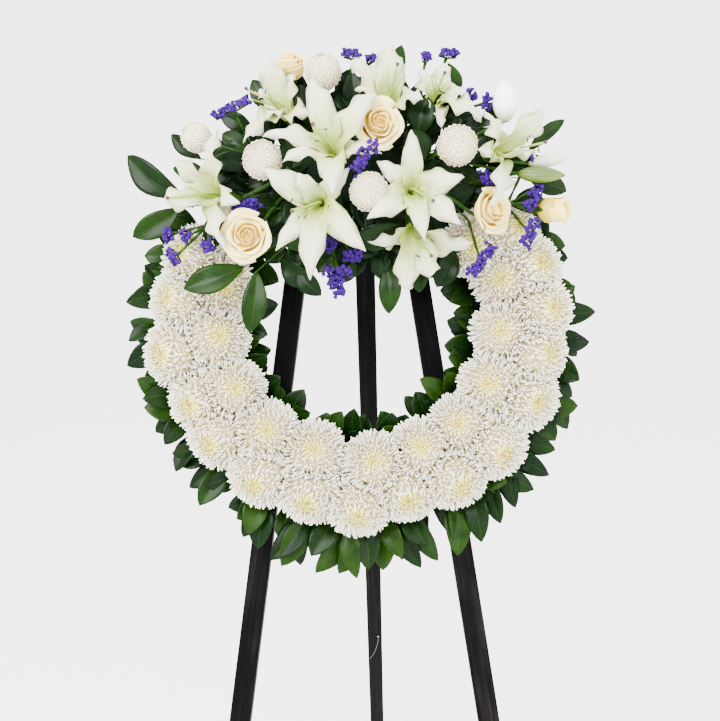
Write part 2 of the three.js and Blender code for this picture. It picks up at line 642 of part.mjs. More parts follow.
for (const name of Object.keys(POMPONS)) recipes.push([name, 'pompon', (grow) => pompon(POMPONS[name], grow)]);
for (const name of Object.keys(ROSES)) recipes.push([name, 'rose', (grow) => rose(ROSES[name], grow)]);
for (const name of Object.keys(LILIES)) recipes.push([name, 'lily', (grow) => lilyStem(name, grow)]);
for (const name of Object.keys(STATICE)) recipes.push([name, 'statice', (grow) => staticeStem(name, grow)]);
recipes.push(
  ['spray_leaves', 'leaf', (grow) => sprayLeaves(grow)],
  ['outer_leaf_collar', 'leaf', (grow) => collar(OUTER_LEAVES, 297, 30, grow)],
  ['inner_leaf_collar', 'leaf', (grow) => collar(INNER_LEAVES, 193, 30, grow)],
);

const leaning = new THREE.Group();
leaning.rotation.x = Math.PI / 2 - LEAN;

const EASEL_PIECES = 9;
const claimed = [];
recipes.forEach(([name, material, shape], k) => {
  const grow = shape.length ? CLEAR : 0;
  let body = shape(0);
  if (k >= EASEL_PIECES) {
    for (const earlier of claimed) body = body.subtract(earlier);
    body = largest(body);
  }
  claimed.push(grow ? shape(grow) : body);
  const mesh = new THREE.Mesh(geometryOf(body), MATERIALS[material]);
  mesh.name = name;
  leaning.add(mesh);
});

// The origin is on the floor, under the middle of the whole piece
const wreath = new THREE.Group();
wreath.name = 'funeral_wreath';
wreath.add(leaning);
wreath.updateMatrixWorld(true);
const extent = new THREE.Box3().setFromObject(wreath, true);
const middle = extent.getCenter(vec(0, 0, 0));
leaning.position.set(-middle.x, -middle.y, -extent.min.z);

export default wreath;
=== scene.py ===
import functools
from math import acos, atan2, cos, exp, hypot, pi, radians, sin, sqrt, tau
from random import Random

import bmesh
import bpy
from mathutils import Matrix, Vector


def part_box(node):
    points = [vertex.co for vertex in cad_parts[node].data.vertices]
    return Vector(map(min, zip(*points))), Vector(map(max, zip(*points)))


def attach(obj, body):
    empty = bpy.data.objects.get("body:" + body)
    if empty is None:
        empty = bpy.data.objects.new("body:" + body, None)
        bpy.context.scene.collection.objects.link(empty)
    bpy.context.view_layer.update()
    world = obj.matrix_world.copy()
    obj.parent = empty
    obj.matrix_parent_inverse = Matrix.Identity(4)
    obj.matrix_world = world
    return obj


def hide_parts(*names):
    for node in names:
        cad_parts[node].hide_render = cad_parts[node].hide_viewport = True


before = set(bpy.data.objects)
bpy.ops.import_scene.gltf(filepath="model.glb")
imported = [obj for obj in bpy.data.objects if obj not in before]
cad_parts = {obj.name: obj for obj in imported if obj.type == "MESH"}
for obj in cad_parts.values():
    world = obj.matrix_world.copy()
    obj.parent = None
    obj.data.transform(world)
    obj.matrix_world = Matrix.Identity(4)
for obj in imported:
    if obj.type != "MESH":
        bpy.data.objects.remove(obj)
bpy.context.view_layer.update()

# ------------------------------------
# Camera. It stands in front of the leaning wreath and looks square at it, a little turned and
# tipped. The wreath's own millimetres run from the middle of its ring, on the front face of the
# easel's front legs: x to the right, y up the slope and z out of the face.
LEAN = radians(10)
BACKING_MIDDLE = 5.15
CAMERA_AT = Vector((35.12, -54.97, 1250))
CAMERA_TURN = 0.02516
CAMERA_TIP = -0.017
CAMERA_LENS = 38.35

slope = Matrix.Rotation(pi / 2 - LEAN, 4, "X")
backing_low, backing_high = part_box("backing_ring")
ring_middle = (backing_low + backing_high) / 2 - slope @ Vector((0, 0, BACKING_MIDDLE / 1000))
to_row = Matrix.Translation(ring_middle) @ slope @ Matrix.Scale(0.001, 4)

camera = bpy.data.objects.new("camera", bpy.data.cameras.new("camera"))
camera.data.sensor_fit = "HORIZONTAL"
camera.data.lens = CAMERA_LENS
camera.matrix_world = (
    Matrix.Translation(to_row @ CAMERA_AT)
    @ slope
    @ Matrix.Rotation(CAMERA_TURN, 4, "Y")
    @ Matrix.Rotation(CAMERA_TIP, 4, "Z")
)
bpy.context.scene.collection.objects.link(camera)
bpy.context.scene.camera = camera

# ------------------------------------
# Studio. A white room with a wide soft light above the camera, a weaker one on the other side
# and a pale floor that runs out of sight.
ROOM_LIGHT = 4.4
FLOOR_HALF_WIDTH = 15

world = bpy.data.worlds.new("white_room")
world.use_nodes = True
background = world.node_tree.nodes["Background"]
background.inputs["Color"].default_value = (1, 1, 1, 1)
background.inputs["Strength"].default_value = ROOM_LIGHT
bpy.context.scene.world = world

for name, power, size, place in (
    ("key_light", 260, 1.6, (-1.3, -2.3, 2.9)),
    ("fill_light", 70, 2.2, (1.9, -2.0, 1.7)),
):
    light = bpy.data.lights.new(name, "AREA")
    light.energy = power
    light.size = size
    lamp = bpy.data.objects.new(name, light)
    lamp.location = place
    lamp.rotation_euler = (ring_middle - Vector(place)).to_track_quat("-Z", "Y").to_euler()
    bpy.context.scene.collection.objects.link(lamp)


def material(name):
    """A new node material."""
    made = bpy.data.materials.new(name)
    made.use_nodes = True
    return made


def put(socket, value):
    """Links another node's output to the socket, or sets a plain value."""
    if isinstance(value, bpy.types.NodeSocket):
        socket.id_data.links.new(value, socket)
    else:
        socket.default_value = value


def node(tree, kind, **inputs):
    """A shader node with its inputs linked or set."""
    made = tree.nodes.new("ShaderNode" + kind)
    for name, value in inputs.items():
        put(made.inputs[name.replace("_", " ")], value)
    return made


def surface(mat, **inputs):
    """Links or sets inputs of the material's own shader."""
    shader = mat.node_tree.nodes["Principled BSDF"]
    for name, value in inputs.items():
        put(shader.inputs[name.replace("_", " ")], value)


def ramp(value, *stops):
    """A colour for each value: stops are (value, colour), the colour a grey or three numbers."""
    made = node(value.id_data, "ValToRGB", Fac=value)
    elements = made.color_ramp.elements
    while len(elements) < len(stops):
        elements.new(0.5)
    for element, (place, colour) in zip(elements, stops):
        element.position = place
        element.color = (*colour, 1) if isinstance(colour, tuple) else (colour, colour, colour, 1)
    return made.outputs["Color"]


def object_place(mat):
    return node(mat.node_tree, "TexCoord").outputs["Object"]


def noise(place, scale, detail=2):
    """Cloudy values from about 0.3 to 0.7."""
    return node(place.id_data, "TexNoise", Vector=place, Scale=scale, Detail=detail).outputs["Fac"]


floor_finish = material("pale_floor")
floor_cloud = noise(object_place(floor_finish), 0.7)
surface(
    floor_finish,
    Base_Color=ramp(floor_cloud, (0.3, (0.965, 0.965, 0.962)), (0.7, (0.975, 0.975, 0.973))),
    Roughness=0.8,
)


def new_piece(name, bm, mat):
    """The shaped geometry as an object of one material."""
    mesh = bpy.data.meshes.new(name)
    bm.to_mesh(mesh)
    bm.free()
    mesh.materials.append(mat)
    made = bpy.data.objects.new(name, mesh)
    bpy.context.scene.collection.objects.link(made)
    return made


bm = bmesh.new()
bmesh.ops.create_grid(bm, x_segments=1, y_segments=1, size=FLOOR_HALF_WIDTH)
new_piece("floor", bm, floor_finish)

# ------------------------------------
# Easel timbers. Planed softwood laths stained black, with eased edges, faint grain and pale
# scuffs where the stain has rubbed. The rails are screwed behind the front legs.
EDGE = 0.0012
LEG_SPREAD = 0.142
LEG_OPEN = radians(31.5)


def mix(share, first, second, blend="MIX"):
    """The second colour over the first, which is another node's, by a share from 0 to 1."""
    made = node(first.id_data, "Mix")
    made.data_type = "RGBA"
    made.blend_type = blend
    for number, value in ((0, share), (6, first), (7, second)):
        put(made.inputs[number], (*value, 1) if isinstance(value, tuple) else value)
    return made.outputs[2]


def calc(operation, first, second=0.0):
    """One sum on two values."""
    made = node(first.id_data, "Math")
    made.operation = operation
    put(made.inputs[0], first)
    put(made.inputs[1], second)
    return made.outputs[0]


def bump(height, distance, strength=1.0):
    """A surface raised and sunk by a value."""
    made = node(height.id_data, "Bump", Height=height, Distance=distance, Strength=strength)
    return made.outputs["Normal"]


def stretched(place, scale):
    return node(place.id_data, "Mapping", Vector=place, Scale=scale).outputs["Vector"]


def cells(place, scale):
    """The distance from the nearest of many scattered points."""
    return node(place.id_data, "TexVoronoi", Vector=place, Scale=scale).outputs["Distance"]


def attribute(mat, name, output="Fac"):
    """A value that is stored on the piece's points."""
    made = node(mat.node_tree, "Attribute")
    made.attribute_name = name
    return made.outputs[output]


timber_finish = material("black_stained_timber")
grain = attribute(timber_finish, "grain", "Vector")
lines = noise(stretched(grain, (150, 150, 3.5)), 1.6, 7)
scuff_place = stretched(grain, (34, 34, 9))
scuffs = noise(scuff_place, 1.0, 9)
pits = cells(scuff_place, 4.5)
stain = ramp(lines, (0.3, (0.0005, 0.0005, 0.0006)),
             (0.52, (0.0012, 0.0011, 0.0011)), (0.72, (0.0036, 0.0032, 0.003)))
rubbed = ramp(lines, (0.35, (0.002, 0.0018, 0.0017)), (0.7, (0.012, 0.0105, 0.0095)))
worn = calc("MULTIPLY", ramp(scuffs, (0.5, 0.0), (0.72, 1.0)), 0.75)
pitted = ramp(pits, (0.06, 0.1), (0.13, 1.0))
surface(
    timber_finish,
    Base_Color=mix(1.0, mix(worn, stain, rubbed), pitted, "MULTIPLY"),
    Roughness=ramp(scuffs, (0.3, 0.45), (0.7, 0.7)),
    Specular_IOR_Level=0.03,
    Normal=bump(lines, 0.0006, 0.5),
)


def timber(cad_node, along, body="easel_and_wreath"):
    """The lath of a CAD node with its edges eased and its grain running along."""
    bm = bmesh.new()
    bm.from_mesh(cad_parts[cad_node].data)
    bmesh.ops.dissolve_limit(bm, angle_limit=radians(1), verts=bm.verts, edges=bm.edges)
    bmesh.ops.bevel(bm, geom=bm.edges, offset=EDGE, offset_type="OFFSET", segments=3, affect="EDGES",
                    profile=0.5, material=-1, clamp_overlap=True)
    turn = along.normalized().rotation_difference(Vector((0, 0, 1)))
    layer = bm.verts.layers.float_vector.new("grain")
    for vert in bm.verts:
        vert[layer] = turn @ vert.co
    made = new_piece(cad_node + "_lath", bm, timber_finish)
    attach(made, body)
    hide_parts(cad_node)


timber("front_leg_left", slope @ Vector((-LEG_SPREAD, -1, 0)))
timber("front_leg_right", slope @ Vector((LEG_SPREAD, -1, 0)))
timber("head_rail", Vector((1, 0, 0)))
timber("lower_rail", Vector((1, 0, 0)))
timber("rear_leg", slope @ Matrix.Rotation(LEG_OPEN, 4, "X") @ Vector((0, -1, 0)), "folding_leg")

# ------------------------------------
# Hinge and hook. A zinc-plated steel butt hinge lets the rear leg fold, and a bent steel hook on
# the head rail carries the wreath. Both show fine rolling marks and dull patches.
steel_finish = material("zinc_plated_steel")
steel_place = object_place(steel_finish)
marks = noise(stretched(steel_place, (60, 900, 900)), 1.0, 4)
dulling = noise(steel_place, 90, 5)
surface(
    steel_finish,
    Base_Color=ramp(dulling, (0.3, (0.42, 0.42, 0.41)), (0.7, (0.62, 0.62, 0.6))),
    Metallic=1.0,
    Roughness=ramp(dulling, (0.3, 0.28), (0.75, 0.5)),
    Normal=bump(marks, 0.0001, 0.4),
)
for name in ("hinge_plate", "hinge_strap", "hinge_pin", "hanging_hook"):
    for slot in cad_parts[name].material_slots:
        slot.material = steel_finish

# ------------------------------------
# Nail and wire. A bright round nail in the front of the rear leg holds the end of a short pale
# wire, which curves down against the wood.
NAIL_X = 21.0
NAIL_DOWN = 1052.0
HINGE_Y = 182
HINGE_Z = -42.6
LEG_FACE_Z = -40.9
open_leg = (
    Matrix.Translation((0, HINGE_Y, HINGE_Z))
    @ Matrix.Rotation(LEG_OPEN, 4, "X")
    @ Matrix.Translation((0, -HINGE_Y, -HINGE_Z))
)


def kept(name, bm, rise):
    """A shape to be copied, with its two colour values and a map across x and along one axis."""
    bm.verts.layers.float.new("tone")
    bm.verts.layers.float.new("pick")
    uv = bm.loops.layers.uv.new("along")
    for face in bm.faces:
        for loop in face.loops:
            loop[uv].uv = ((loop.vert.co.x + 1) / 2, loop.vert.co[rise])
    mesh = bpy.data.meshes.new(name)
    bm.to_mesh(mesh)
    bm.free()
    return mesh


@functools.cache
def bar(sides, steps):
    """A closed bar of radius 1 from z = 0 to z = 1, to be shaped."""
    bm = bmesh.new()
    bmesh.ops.create_cone(bm, cap_ends=True, segments=sides, radius1=1, radius2=1, depth=1)
    bmesh.ops.translate(bm, verts=bm.verts, vec=(0, 0, 0.5))
    lengths = [e for e in bm.edges if abs(e.verts[0].co.z - e.verts[1].co.z) > 0.5]
    bmesh.ops.subdivide_edges(bm, edges=lengths, cuts=steps - 1)
    return kept("bar", bm, 2)


def add_copy(bm, template, tone, pick):
    """Adds a copy of the template with its two colour values, and gives its points."""
    first = len(bm.verts)
    bm.from_mesh(template)
    bm.verts.ensure_lookup_table()
    made = bm.verts[first:]
    tones = bm.verts.layers.float["tone"]
    picks = bm.verts.layers.float["pick"]
    for vert in made:
        vert[tones] = tone
        vert[picks] = pick
    return made


def add_bar(bm, template, section, tone=0.0, pick=0.5):
    """Adds a bar. section(t) is its middle, half width, half thickness and edge lift at t."""
    known = {}
    for vert in add_copy(bm, template, tone, pick):
        x, y, t = vert.co
        key = round(t, 4)
        if key not in known:
            known[key] = section(t)
        middle, wide, thick, lift = known[key]
        vert.co = middle + wide * x + thick * y + lift * (x * x)


def through(points):
    """A smooth line through the points: t from 0 to 1 gives its points."""
    knots = [2 * points[0] - points[1], *points, 2 * points[-1] - points[-2]]
    spans = len(points) - 1

    def line(t):
        k = min(int(t * spans), spans - 1)
        f = t * spans - k
        a, b, c, d = knots[k:k + 4]
        slant = (c - a) * f
        bend = (2 * a - 5 * b + 4 * c - d) * f ** 2
        twist = (3 * b - a - 3 * c + d) * f ** 3
        return 0.5 * (2 * b + slant + bend + twist)

    return line


def add_stem(bm, points, start_radius, end_radius, sides=8, steps=10):
    """Adds a round stem or wire along a smooth line through the points."""
    line = through([Vector(p) for p in points])
    across = (line(1) - line(0)).orthogonal().normalized()

    def section(t):
        run = (line(min(t + 0.02, 1)) - line(max(t - 0.02, 0))).normalized()
        wide = (across - run * across.dot(run)).normalized()
        radius = start_radius + (end_radius - start_radius) * t
        return line(t), wide * radius, run.cross(wide) * radius, Vector()

    add_bar(bm, bar(sides, steps), section)


def finished(name, bm, mat, body="easel_and_wreath", cad_nodes=()):
    """The shaped geometry as a smooth object in its place, riding on its body."""
    bmesh.ops.transform(bm, matrix=to_row, verts=bm.verts)
    bmesh.ops.recalc_face_normals(bm, faces=bm.faces)
    made = new_piece(name, bm, mat)
    made.data.shade_smooth()
    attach(made, body)
    if cad_nodes:
        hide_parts(*cad_nodes)


wire_finish = material("bright_wire")
wire_noise = noise(object_place(wire_finish), 400, 3)
surface(
    wire_finish,
    Base_Color=ramp(wire_noise, (0.3, (0.14, 0.13, 0.11)), (0.7, (0.3, 0.28, 0.25))),
    Metallic=1.0,
    Roughness=0.35,
)
nail = Vector((NAIL_X, HINGE_Y - NAIL_DOWN, LEG_FACE_Z))
bm = bmesh.new()
NAIL_SHANK = ((0, 0, -4), (0, 0, 1), (0, 0, 2.5))
NAIL_HEAD = ((0, 0, 2.5), (0, 0, 2.9), (0, 0, 3.3))
WIRE = ((1, 1, 1.8), (-1, -18, 4), (-5, -40, 3.4), (-12, -64, 2.6), (-22, -84, 1.6))
add_stem(bm, [nail + Vector(p) for p in NAIL_SHANK], 1.1, 1.1)
add_stem(bm, [nail + Vector(p) for p in NAIL_HEAD], 2.6, 2.2, sides=12, steps=2)
add_stem(bm, [nail + Vector(p) for p in WIRE], 0.38, 0.34, sides=6, steps=16)
bmesh.ops.transform(bm, matrix=open_leg, verts=bm.verts)
finished("nail_and_wire", bm, wire_finish, body="folding_leg")

# ------------------------------------
# Wreath base. A flat ring of board painted dark green carries a half-round ring of wet floral
# foam, with a block of the same foam under the spray. The foam is fine-pored and dark when soaked.
board_finish = material("green_board")
board_place = stretched(object_place(board_finish), (4, 90, 90))
board_grain = noise(board_place, 1.4, 8)
surface(
    board_finish,
    Base_Color=ramp(board_grain, (0.3, (0.003, 0.009, 0.005)), (0.7, (0.007, 0.018, 0.011))),
    Roughness=0.75,
    Specular_IOR_Level=0.1,
    Normal=bump(board_grain, 0.0004, 0.5),
)
foam_finish = material("wet_floral_foam")
foam_place = object_place(foam_finish)
pores = cells(foam_place, 900.0)
damp = noise(foam_place, 22, 5)
foam_green = ramp(damp, (0.3, (0.001, 0.0045, 0.0015)), (0.7, (0.003, 0.011, 0.004)))
# The colour darkens in the pores that the bump sinks: painted shade in the pores.
surface(
    foam_finish,
    Base_Color=mix(ramp(pores, (0.0, 0.6), (0.5, 0.0)), foam_green, (0.0006, 0.002, 0.0008)),
    Roughness=0.85,
    Specular_IOR_Level=0.08,
    Normal=bump(pores, 0.0006, 0.6),
)
for name, coat in (("backing_ring", board_finish), ("foam_ring", foam_finish), ("spray_foam", foam_finish)):
    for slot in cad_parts[name].material_slots:
        slot.material = coat

# ------------------------------------
# Leaves. Glossy dark evergreen leaves, folded a little along the midrib, with paler veins. Their
# stalks are pushed into the foam round the ring and under the spray.


def along_piece(mat):
    """The piece's own map, and the places across and along the piece, each from 0 to 1."""
    made = node(mat.node_tree, "UVMap")
    made.uv_map = "along"
    split = node(mat.node_tree, "SeparateXYZ", Vector=made.outputs["UV"])
    return made.outputs["UV"], split.outputs["X"], split.outputs["Y"]


def off_middle(across):
    """The distance from the piece's middle line, from 0 to 0.5."""
    return calc("ABSOLUTE", calc("SUBTRACT", across, 0.5))


VEINS = 9.0
VEIN_SLANT = 5.0
leaf_finish = material("green_leaf")
_, leaf_across, leaf_along = along_piece(leaf_finish)
off_rib = off_middle(leaf_across)
rib = ramp(off_rib, (0.012, 1.0), (0.035, 0.0))
vein_run = calc("SUBTRACT", calc("MULTIPLY", leaf_along, VEINS), calc("MULTIPLY", off_rib, VEIN_SLANT))
veins = ramp(calc("PINGPONG", vein_run, 0.5), (0.02, 0.55), (0.1, 0.0))
ribbed = calc("MAXIMUM", rib, veins)
mottle = noise(object_place(leaf_finish), 45, 4)
leaf_dark = ramp(mottle, (0.3, (0.0003, 0.0036, 0.0004)), (0.7, (0.0008, 0.0085, 0.0009)))
leaf_light = ramp(mottle, (0.3, (0.0045, 0.019, 0.0001)), (0.7, (0.013, 0.038, 0.0002)))
leaf_green = mix(attribute(leaf_finish, "pick"), leaf_dark, leaf_light)
surface(
    leaf_finish,
    Base_Color=mix(calc("MULTIPLY", ribbed, 0.28), leaf_green, (0.018, 0.05, 0.006)),
    Roughness=ramp(mottle, (0.3, 0.24), (0.7, 0.36)),
    Specular_IOR_Level=0.07,
    Normal=bump(ribbed, 0.0005, -0.6),
)
stem_finish = material("green_stem")
stem_noise = noise(object_place(stem_finish), 160, 4)
surface(
    stem_finish,
    Base_Color=ramp(stem_noise, (0.3, (0.006, 0.026, 0.0015)), (0.7, (0.02, 0.058, 0.004))),
    Roughness=0.45,
    Specular_IOR_Level=0.1,
    Normal=bump(stem_noise, 0.0003, 0.4),
)


@functools.cache
def sheet(across, along):
    """A flat closed sheet to be shaped: x from -1 to 1, y from 0 to 1, z is 1 above, -1 below."""
    bm = bmesh.new()
    bmesh.ops.create_grid(bm, x_segments=across, y_segments=along, size=1)
    bmesh.ops.solidify(bm, geom=bm.faces[:], thickness=2)
    upper = max(vert.co.z for vert in bm.verts)
    for vert in bm.verts:
        vert.co = (vert.co.x, (vert.co.y + 1) / 2, 1 if vert.co.z > upper - 1 else -1)
    return kept("sheet", bm, 1)


def add_sheet(bm, template, skin, thick, tone=0.0, pick=0.5):
    """Adds a sheet laid on skin(x, t), thick through in the middle and thinner at its rim."""
    known = {}
    for vert in add_copy(bm, template, tone, pick):
        x, t, side = vert.co
        key = (round(x, 4), round(t, 4))
        if key not in known:
            across = skin(min(x + 0.02, 1), t) - skin(max(x - 0.02, -1), t)
            along = skin(x, min(t + 0.01, 1)) - skin(x, max(t - 0.01, 0))
            known[key] = (skin(x, t), across.cross(along).normalized())
        place, out = known[key]
        rim = 1 - 0.75 * max(abs(x), abs(2 * t - 1)) ** 4
        vert.co = place + out * (side * thick * rim / 2)


LEAF = sheet(8, 14)


def add_leaf(bm, root, tip, width, roll, pick, bend=0.0, droop=0.07):
    """Adds a pointed leaf from the end of its stalk to its tip, its face turned by roll from the front."""
    run = tip - root
    length = run.length
    side = run.cross(Vector((0, 0, 1))).normalized()
    side = Matrix.Rotation(roll, 3, run) @ side
    face = side.cross(run).normalized()

    def skin(x, t):
        half = 0.5 * width * (sin(pi * t ** 1.15) ** 0.75 if 0 < t < 1 else 0) + 0.5
        fold = 0.2 * abs(x) * half
        wave = 0.02 * width * x * x * sin(9 * t + 4 * x + 9 * pick)
        arch = length * droop * (sin(pi * t) - 0.5 * t * t)
        sweep = bend * length * sin(pi * t)
        return root + run * t + side * (x * half + sweep) + face * (fold + wave + arch)

    add_sheet(bm, LEAF, skin, 0.9, 0.0, pick)


# Leaves of the spray: [stalk end, tip, width, how light a green]
SPRAY_LEAVES = [
    [(-255, 195, 100), (-340, 260, 104), 42, 0.12], [(-262, 180, 98), (-335, 138, 100), 38, 0.45],
    [(-230, 255, 92), (-275, 292, 96), 24, 0.1], [(-215, 215, 96), (-272, 242, 98), 30, 0.35],
    [(-158, 84, 140), (-246, 54, 150), 42, 0.45], [(-140, 78, 140), (-152, -12, 146), 36, 0.35],
    [(100, 272, 124), (112, 326, 134), 44, 0.08], [(96, 284, 128), (102, 232, 138), 40, 0.15],
    [(155, 328, 100), (146, 386, 106), 22, 0.6], [(262, 252, 100), (316, 297, 106), 20, 0.3],
    [(262, 214, 98), (318, 192, 102), 34, 0.3], [(-84, 88, 110), (-50, 42, 118), 30, 0.05],
    [(48, 92, 104), (50, 14, 110), 34, 0.4], [(96, 96, 112), (96, 44, 122), 28, 0.2],
    [(-160, 262, 100), (-208, 250, 112), 36, 0.3], [(-150, 262, 104), (-195, 290, 104), 34, 0.4],
    [(-8, 122, 130), (72, 136, 146), 38, 0.15], [(150, 108, 108), (122, 52, 112), 36, 0.1],
    [(0, 340, 88), (22, 372, 92), 34, 0.3], [(-110, 100, 108), (-62, 58, 112), 34, 0.1],
    [(165, 262, 116), (204, 238, 124), 40, 0.15], [(235, 222, 108), (288, 236, 112), 26, 0.4],
    [(235, 172, 104), (292, 168, 104), 34, 0.2], [(5, 112, 112), (-40, 86, 118), 32, 0.05],
    [(-175, 190, 104), (-225, 110, 108), 34, 0.15],
    [(-120, 320, 92), (-150, 372, 96), 30, 0.2], [(190, 290, 100), (236, 322, 104), 28, 0.3],
    [(60, 352, 86), (78, 420, 92), 26, 0.4], [(-60, 340, 84), (-100, 398, 88), 28, 0.25],
]
SPRAY_FOAM_Y = 236
SPRAY_BED_Z = 64.8
STALK_FOOT_Z = SPRAY_BED_Z + 4
# Filler leaves fill an oval of the bed, and stay off the chrysanthemum heads at its lower corners
BED_LEAVES = 150
BED_TURN = 2.4
BED_MIDDLE = (5, 218)
BED_HALF = (205, 118)
HEADS_TOP = 165
HEADS_SIDE = 125
BED_ROOT_Z = (84, 108)
BED_LENGTH = (46, 68)
BED_WIDTH = (26, 36)
luck = Random(4)
filler = Random(11)
bm = bmesh.new()
stalks = bmesh.new()
bed = []
for k in range(BED_LEAVES):
    turn = k * BED_TURN
    reach = sqrt((k + 0.5) / BED_LEAVES)
    x = BED_MIDDLE[0] + BED_HALF[0] * reach * cos(turn)
    y = BED_MIDDLE[1] + BED_HALF[1] * reach * sin(turn)
    root = Vector((x, y, filler.uniform(*BED_ROOT_Z)))
    heading = turn + filler.uniform(-1, 1)
    rise = filler.uniform(0, 0.35)
    tip = root + Vector((cos(heading), sin(heading), rise)) * filler.uniform(*BED_LENGTH)
    width = filler.uniform(*BED_WIDTH)
    pick = filler.choice((0.0, 0.04, 0.1, 0.25))
    if min(root.y, tip.y) > HEADS_TOP or max(abs(root.x), abs(tip.x)) < HEADS_SIDE:
        bed.append((root, tip, width, pick))


# Half the width and height of the foam's oval, and of those where the stalks start and bend
FOAM_OVAL = (124, 44)
FOOT_OVAL = (96, 26)
KNEE_OVAL = (140, 60)


def in_foam(spread, half_x, half_y):
    """The point at an angle on an oval round the middle of the spray foam."""
    return Vector((half_x * cos(spread), SPRAY_FOAM_Y + half_y * sin(spread), STALK_FOOT_Z))


for root, tip, width, pick in SPRAY_LEAVES + bed:
    root = Vector(root)
    tip = Vector(tip)
    spread = atan2((root.y - SPRAY_FOAM_Y) / FOAM_OVAL[1], root.x / FOAM_OVAL[0])
    foot = in_foam(spread, *FOOT_OVAL)
    knee = in_foam(spread, *KNEE_OVAL)
    add_stem(stalks, [foot, knee, root, root + (tip - root) * 0.06], 1.5, 0.8)
    add_leaf(bm, root, tip, width, luck.uniform(-0.35, 0.35), pick, luck.uniform(-0.09, 0.09))
finished("spray_leaf_blades", bm, leaf_finish, cad_nodes=["spray_leaves"])
finished("spray_leaf_stalks", stalks, stem_finish)

# Leaves round the ring: [angle in degrees and distance of each tip from its middle]
OUTER_LEAVES = [
    [151, 335], [163, 345], [173, 355], [178, 360], [189, 365], [198, 350], [207, 360], [214, 352],
    [228, 370], [234, 352], [241, 375], [252, 390], [257, 352], [265, 388], [272, 378], [280, 375],
    [288, 388], [299, 385], [304, 355], [310, 375], [321, 375], [329, 360], [339, 365], [345, 352],
    [355, 365], [2, 370], [9, 340], [20, 350], [30, 340], [60, 335], [80, 338], [100, 335], [120, 335],
    [223, 368], [245, 382], [249, 386], [256, 388], [260, 392], [269, 391], [275, 387], [284, 390],
    [293, 388], [296, 382], [305, 380], [316, 372], [333, 368],
]
INNER_LEAVES = [
    [164, 128], [185, 140], [198, 146], [212, 160], [233, 156], [249, 160], [263, 164], [273, 166],
    [284, 164], [298, 160], [312, 160], [331, 160], [346, 142], [2, 142], [18, 142], [40, 150],
    [70, 150], [100, 155], [135, 150],
]
COLLAR_Z = 30
# Under them lie more leaves, from the spray's left end round to its right end, in degrees
UNDER_START = 150
UNDER_SPAN = 248
LEAF_LIGHTNESS = [0.02, 0.06, 0.1, 0.18, 0.32, 0.6]


def round_ring(angle, distance, z):
    """The point at an angle in degrees and a distance from the ring's middle."""
    turn = radians(angle)
    return Vector((distance * cos(turn), distance * sin(turn), z))


for name, tips, start, foam_edge, outward, under, step in (
    ("outer_leaf_collar", OUTER_LEAVES, 297, 284, 1, (332, 366), 5.8),
    ("inner_leaf_collar", INNER_LEAVES, 193, 206, -1, (128, 156), 9.0),
):
    bm = bmesh.new()
    stalks = bmesh.new()
    for k in range(round(UNDER_SPAN / step)):
        angle = UNDER_START + step * k + filler.uniform(-3, 3)
        tips.append([angle, filler.uniform(*under)])
    for k, (angle, distance) in enumerate(tips):
        skew = outward * (5 if k % 2 else -4)
        foot = round_ring(angle + skew, foam_edge, COLLAR_Z)
        root = round_ring(angle + skew, start, COLLAR_Z)
        tip = round_ring(angle, distance, COLLAR_Z + 14 + 12 * (k % 3))
        add_stem(stalks, [foot, root, root + (tip - root) * 0.1], 1.3, 0.8, steps=5)
        add_leaf(bm, root, tip, luck.uniform(33, 43), luck.uniform(-0.5, 0.5),
                 luck.choice(LEAF_LIGHTNESS), luck.uniform(-0.12, 0.12))
    finished(name + "_blades", bm, leaf_finish, cad_nodes=[name])
    finished(name + "_stalks", stalks, stem_finish)

# ------------------------------------
# Chrysanthemum heads. White disbud blooms in two crowded rows, each a dome of several hundred
# soft strap florets that curl in to a pale yellow eye. Their stems are not drawn.
mum_finish = material("white_chrysanthemum")
mum_map, _, mum_along = along_piece(mum_finish)
# Both floret colours darken towards the floret base. This is partly the florets' real cream and golden base
# and partly painted shade in the gaps between florets.
mum_white_and_painted_shade = ramp(mum_along, (0.0, (0.46, 0.37, 0.18)), (0.35, (0.78, 0.73, 0.56)),
                 (0.65, (0.87, 0.845, 0.7)), (0.85, (0.93, 0.93, 0.86)))
mum_eye_and_painted_shade = ramp(mum_along, (0.0, (0.48, 0.32, 0.01)), (0.5, (0.7, 0.62, 0.05)),
                 (0.8, (0.82, 0.81, 0.13)), (0.95, (0.88, 0.88, 0.27)))
mum_body = mix(attribute(mum_finish, "tone"), mum_white_and_painted_shade, mum_eye_and_painted_shade)
mum_age = calc("MULTIPLY", attribute(mum_finish, "pick"), 0.14)
mum_lines = noise(stretched(mum_map, (9, 1.5, 1)), 1.5, 3)
surface(
    mum_finish,
    Base_Color=mix(mum_age, mum_body, (0.82, 0.76, 0.56)),
    Roughness=0.62,
    Normal=bump(mum_lines, 0.0004, 0.5),
    Subsurface_Weight=0.12,
    Subsurface_Radius=(0.004, 0.003, 0.002),
    Subsurface_Scale=0.5,
)

# Each head: angle round the ring in degrees, and its step in or out from its row
OUTER_MUMS = [[157, -6], [171, -4], [188, 11], [205, -10], [218, -5], [237, -2], [254, -11], [270, 4],
              [286, -13], [302, 2], [318, 10], [336, 15], [350, 3], [3.5, 13], [17, 9], [30, -8]]
INNER_MUMS = [[163, -4], [184, -4], [207, -6], [229, -6], [251, -16], [277, -3], [297, -1], [315, 7],
              [335, 12], [356, 10], [16, 26]]
MUM_RADIUS = 53
MUM_HEIGHT = 33
MUM_LIFT = 25
MUM_SIDE = 34
LAST_FLORET = 112
FLORETS = 760
EYE = 0.3
MUM_CORE = 0.77
MUM_LEAN = 3.5
PRESSED_IN = 2.5
GOLDEN = pi * (3 - sqrt(5))


# Each row: the distance of its stem ends from the middle, their height and their tilt in degrees
OUTER_ROW = (262, 62, 28)
INNER_ROW = (226, 61, -20)


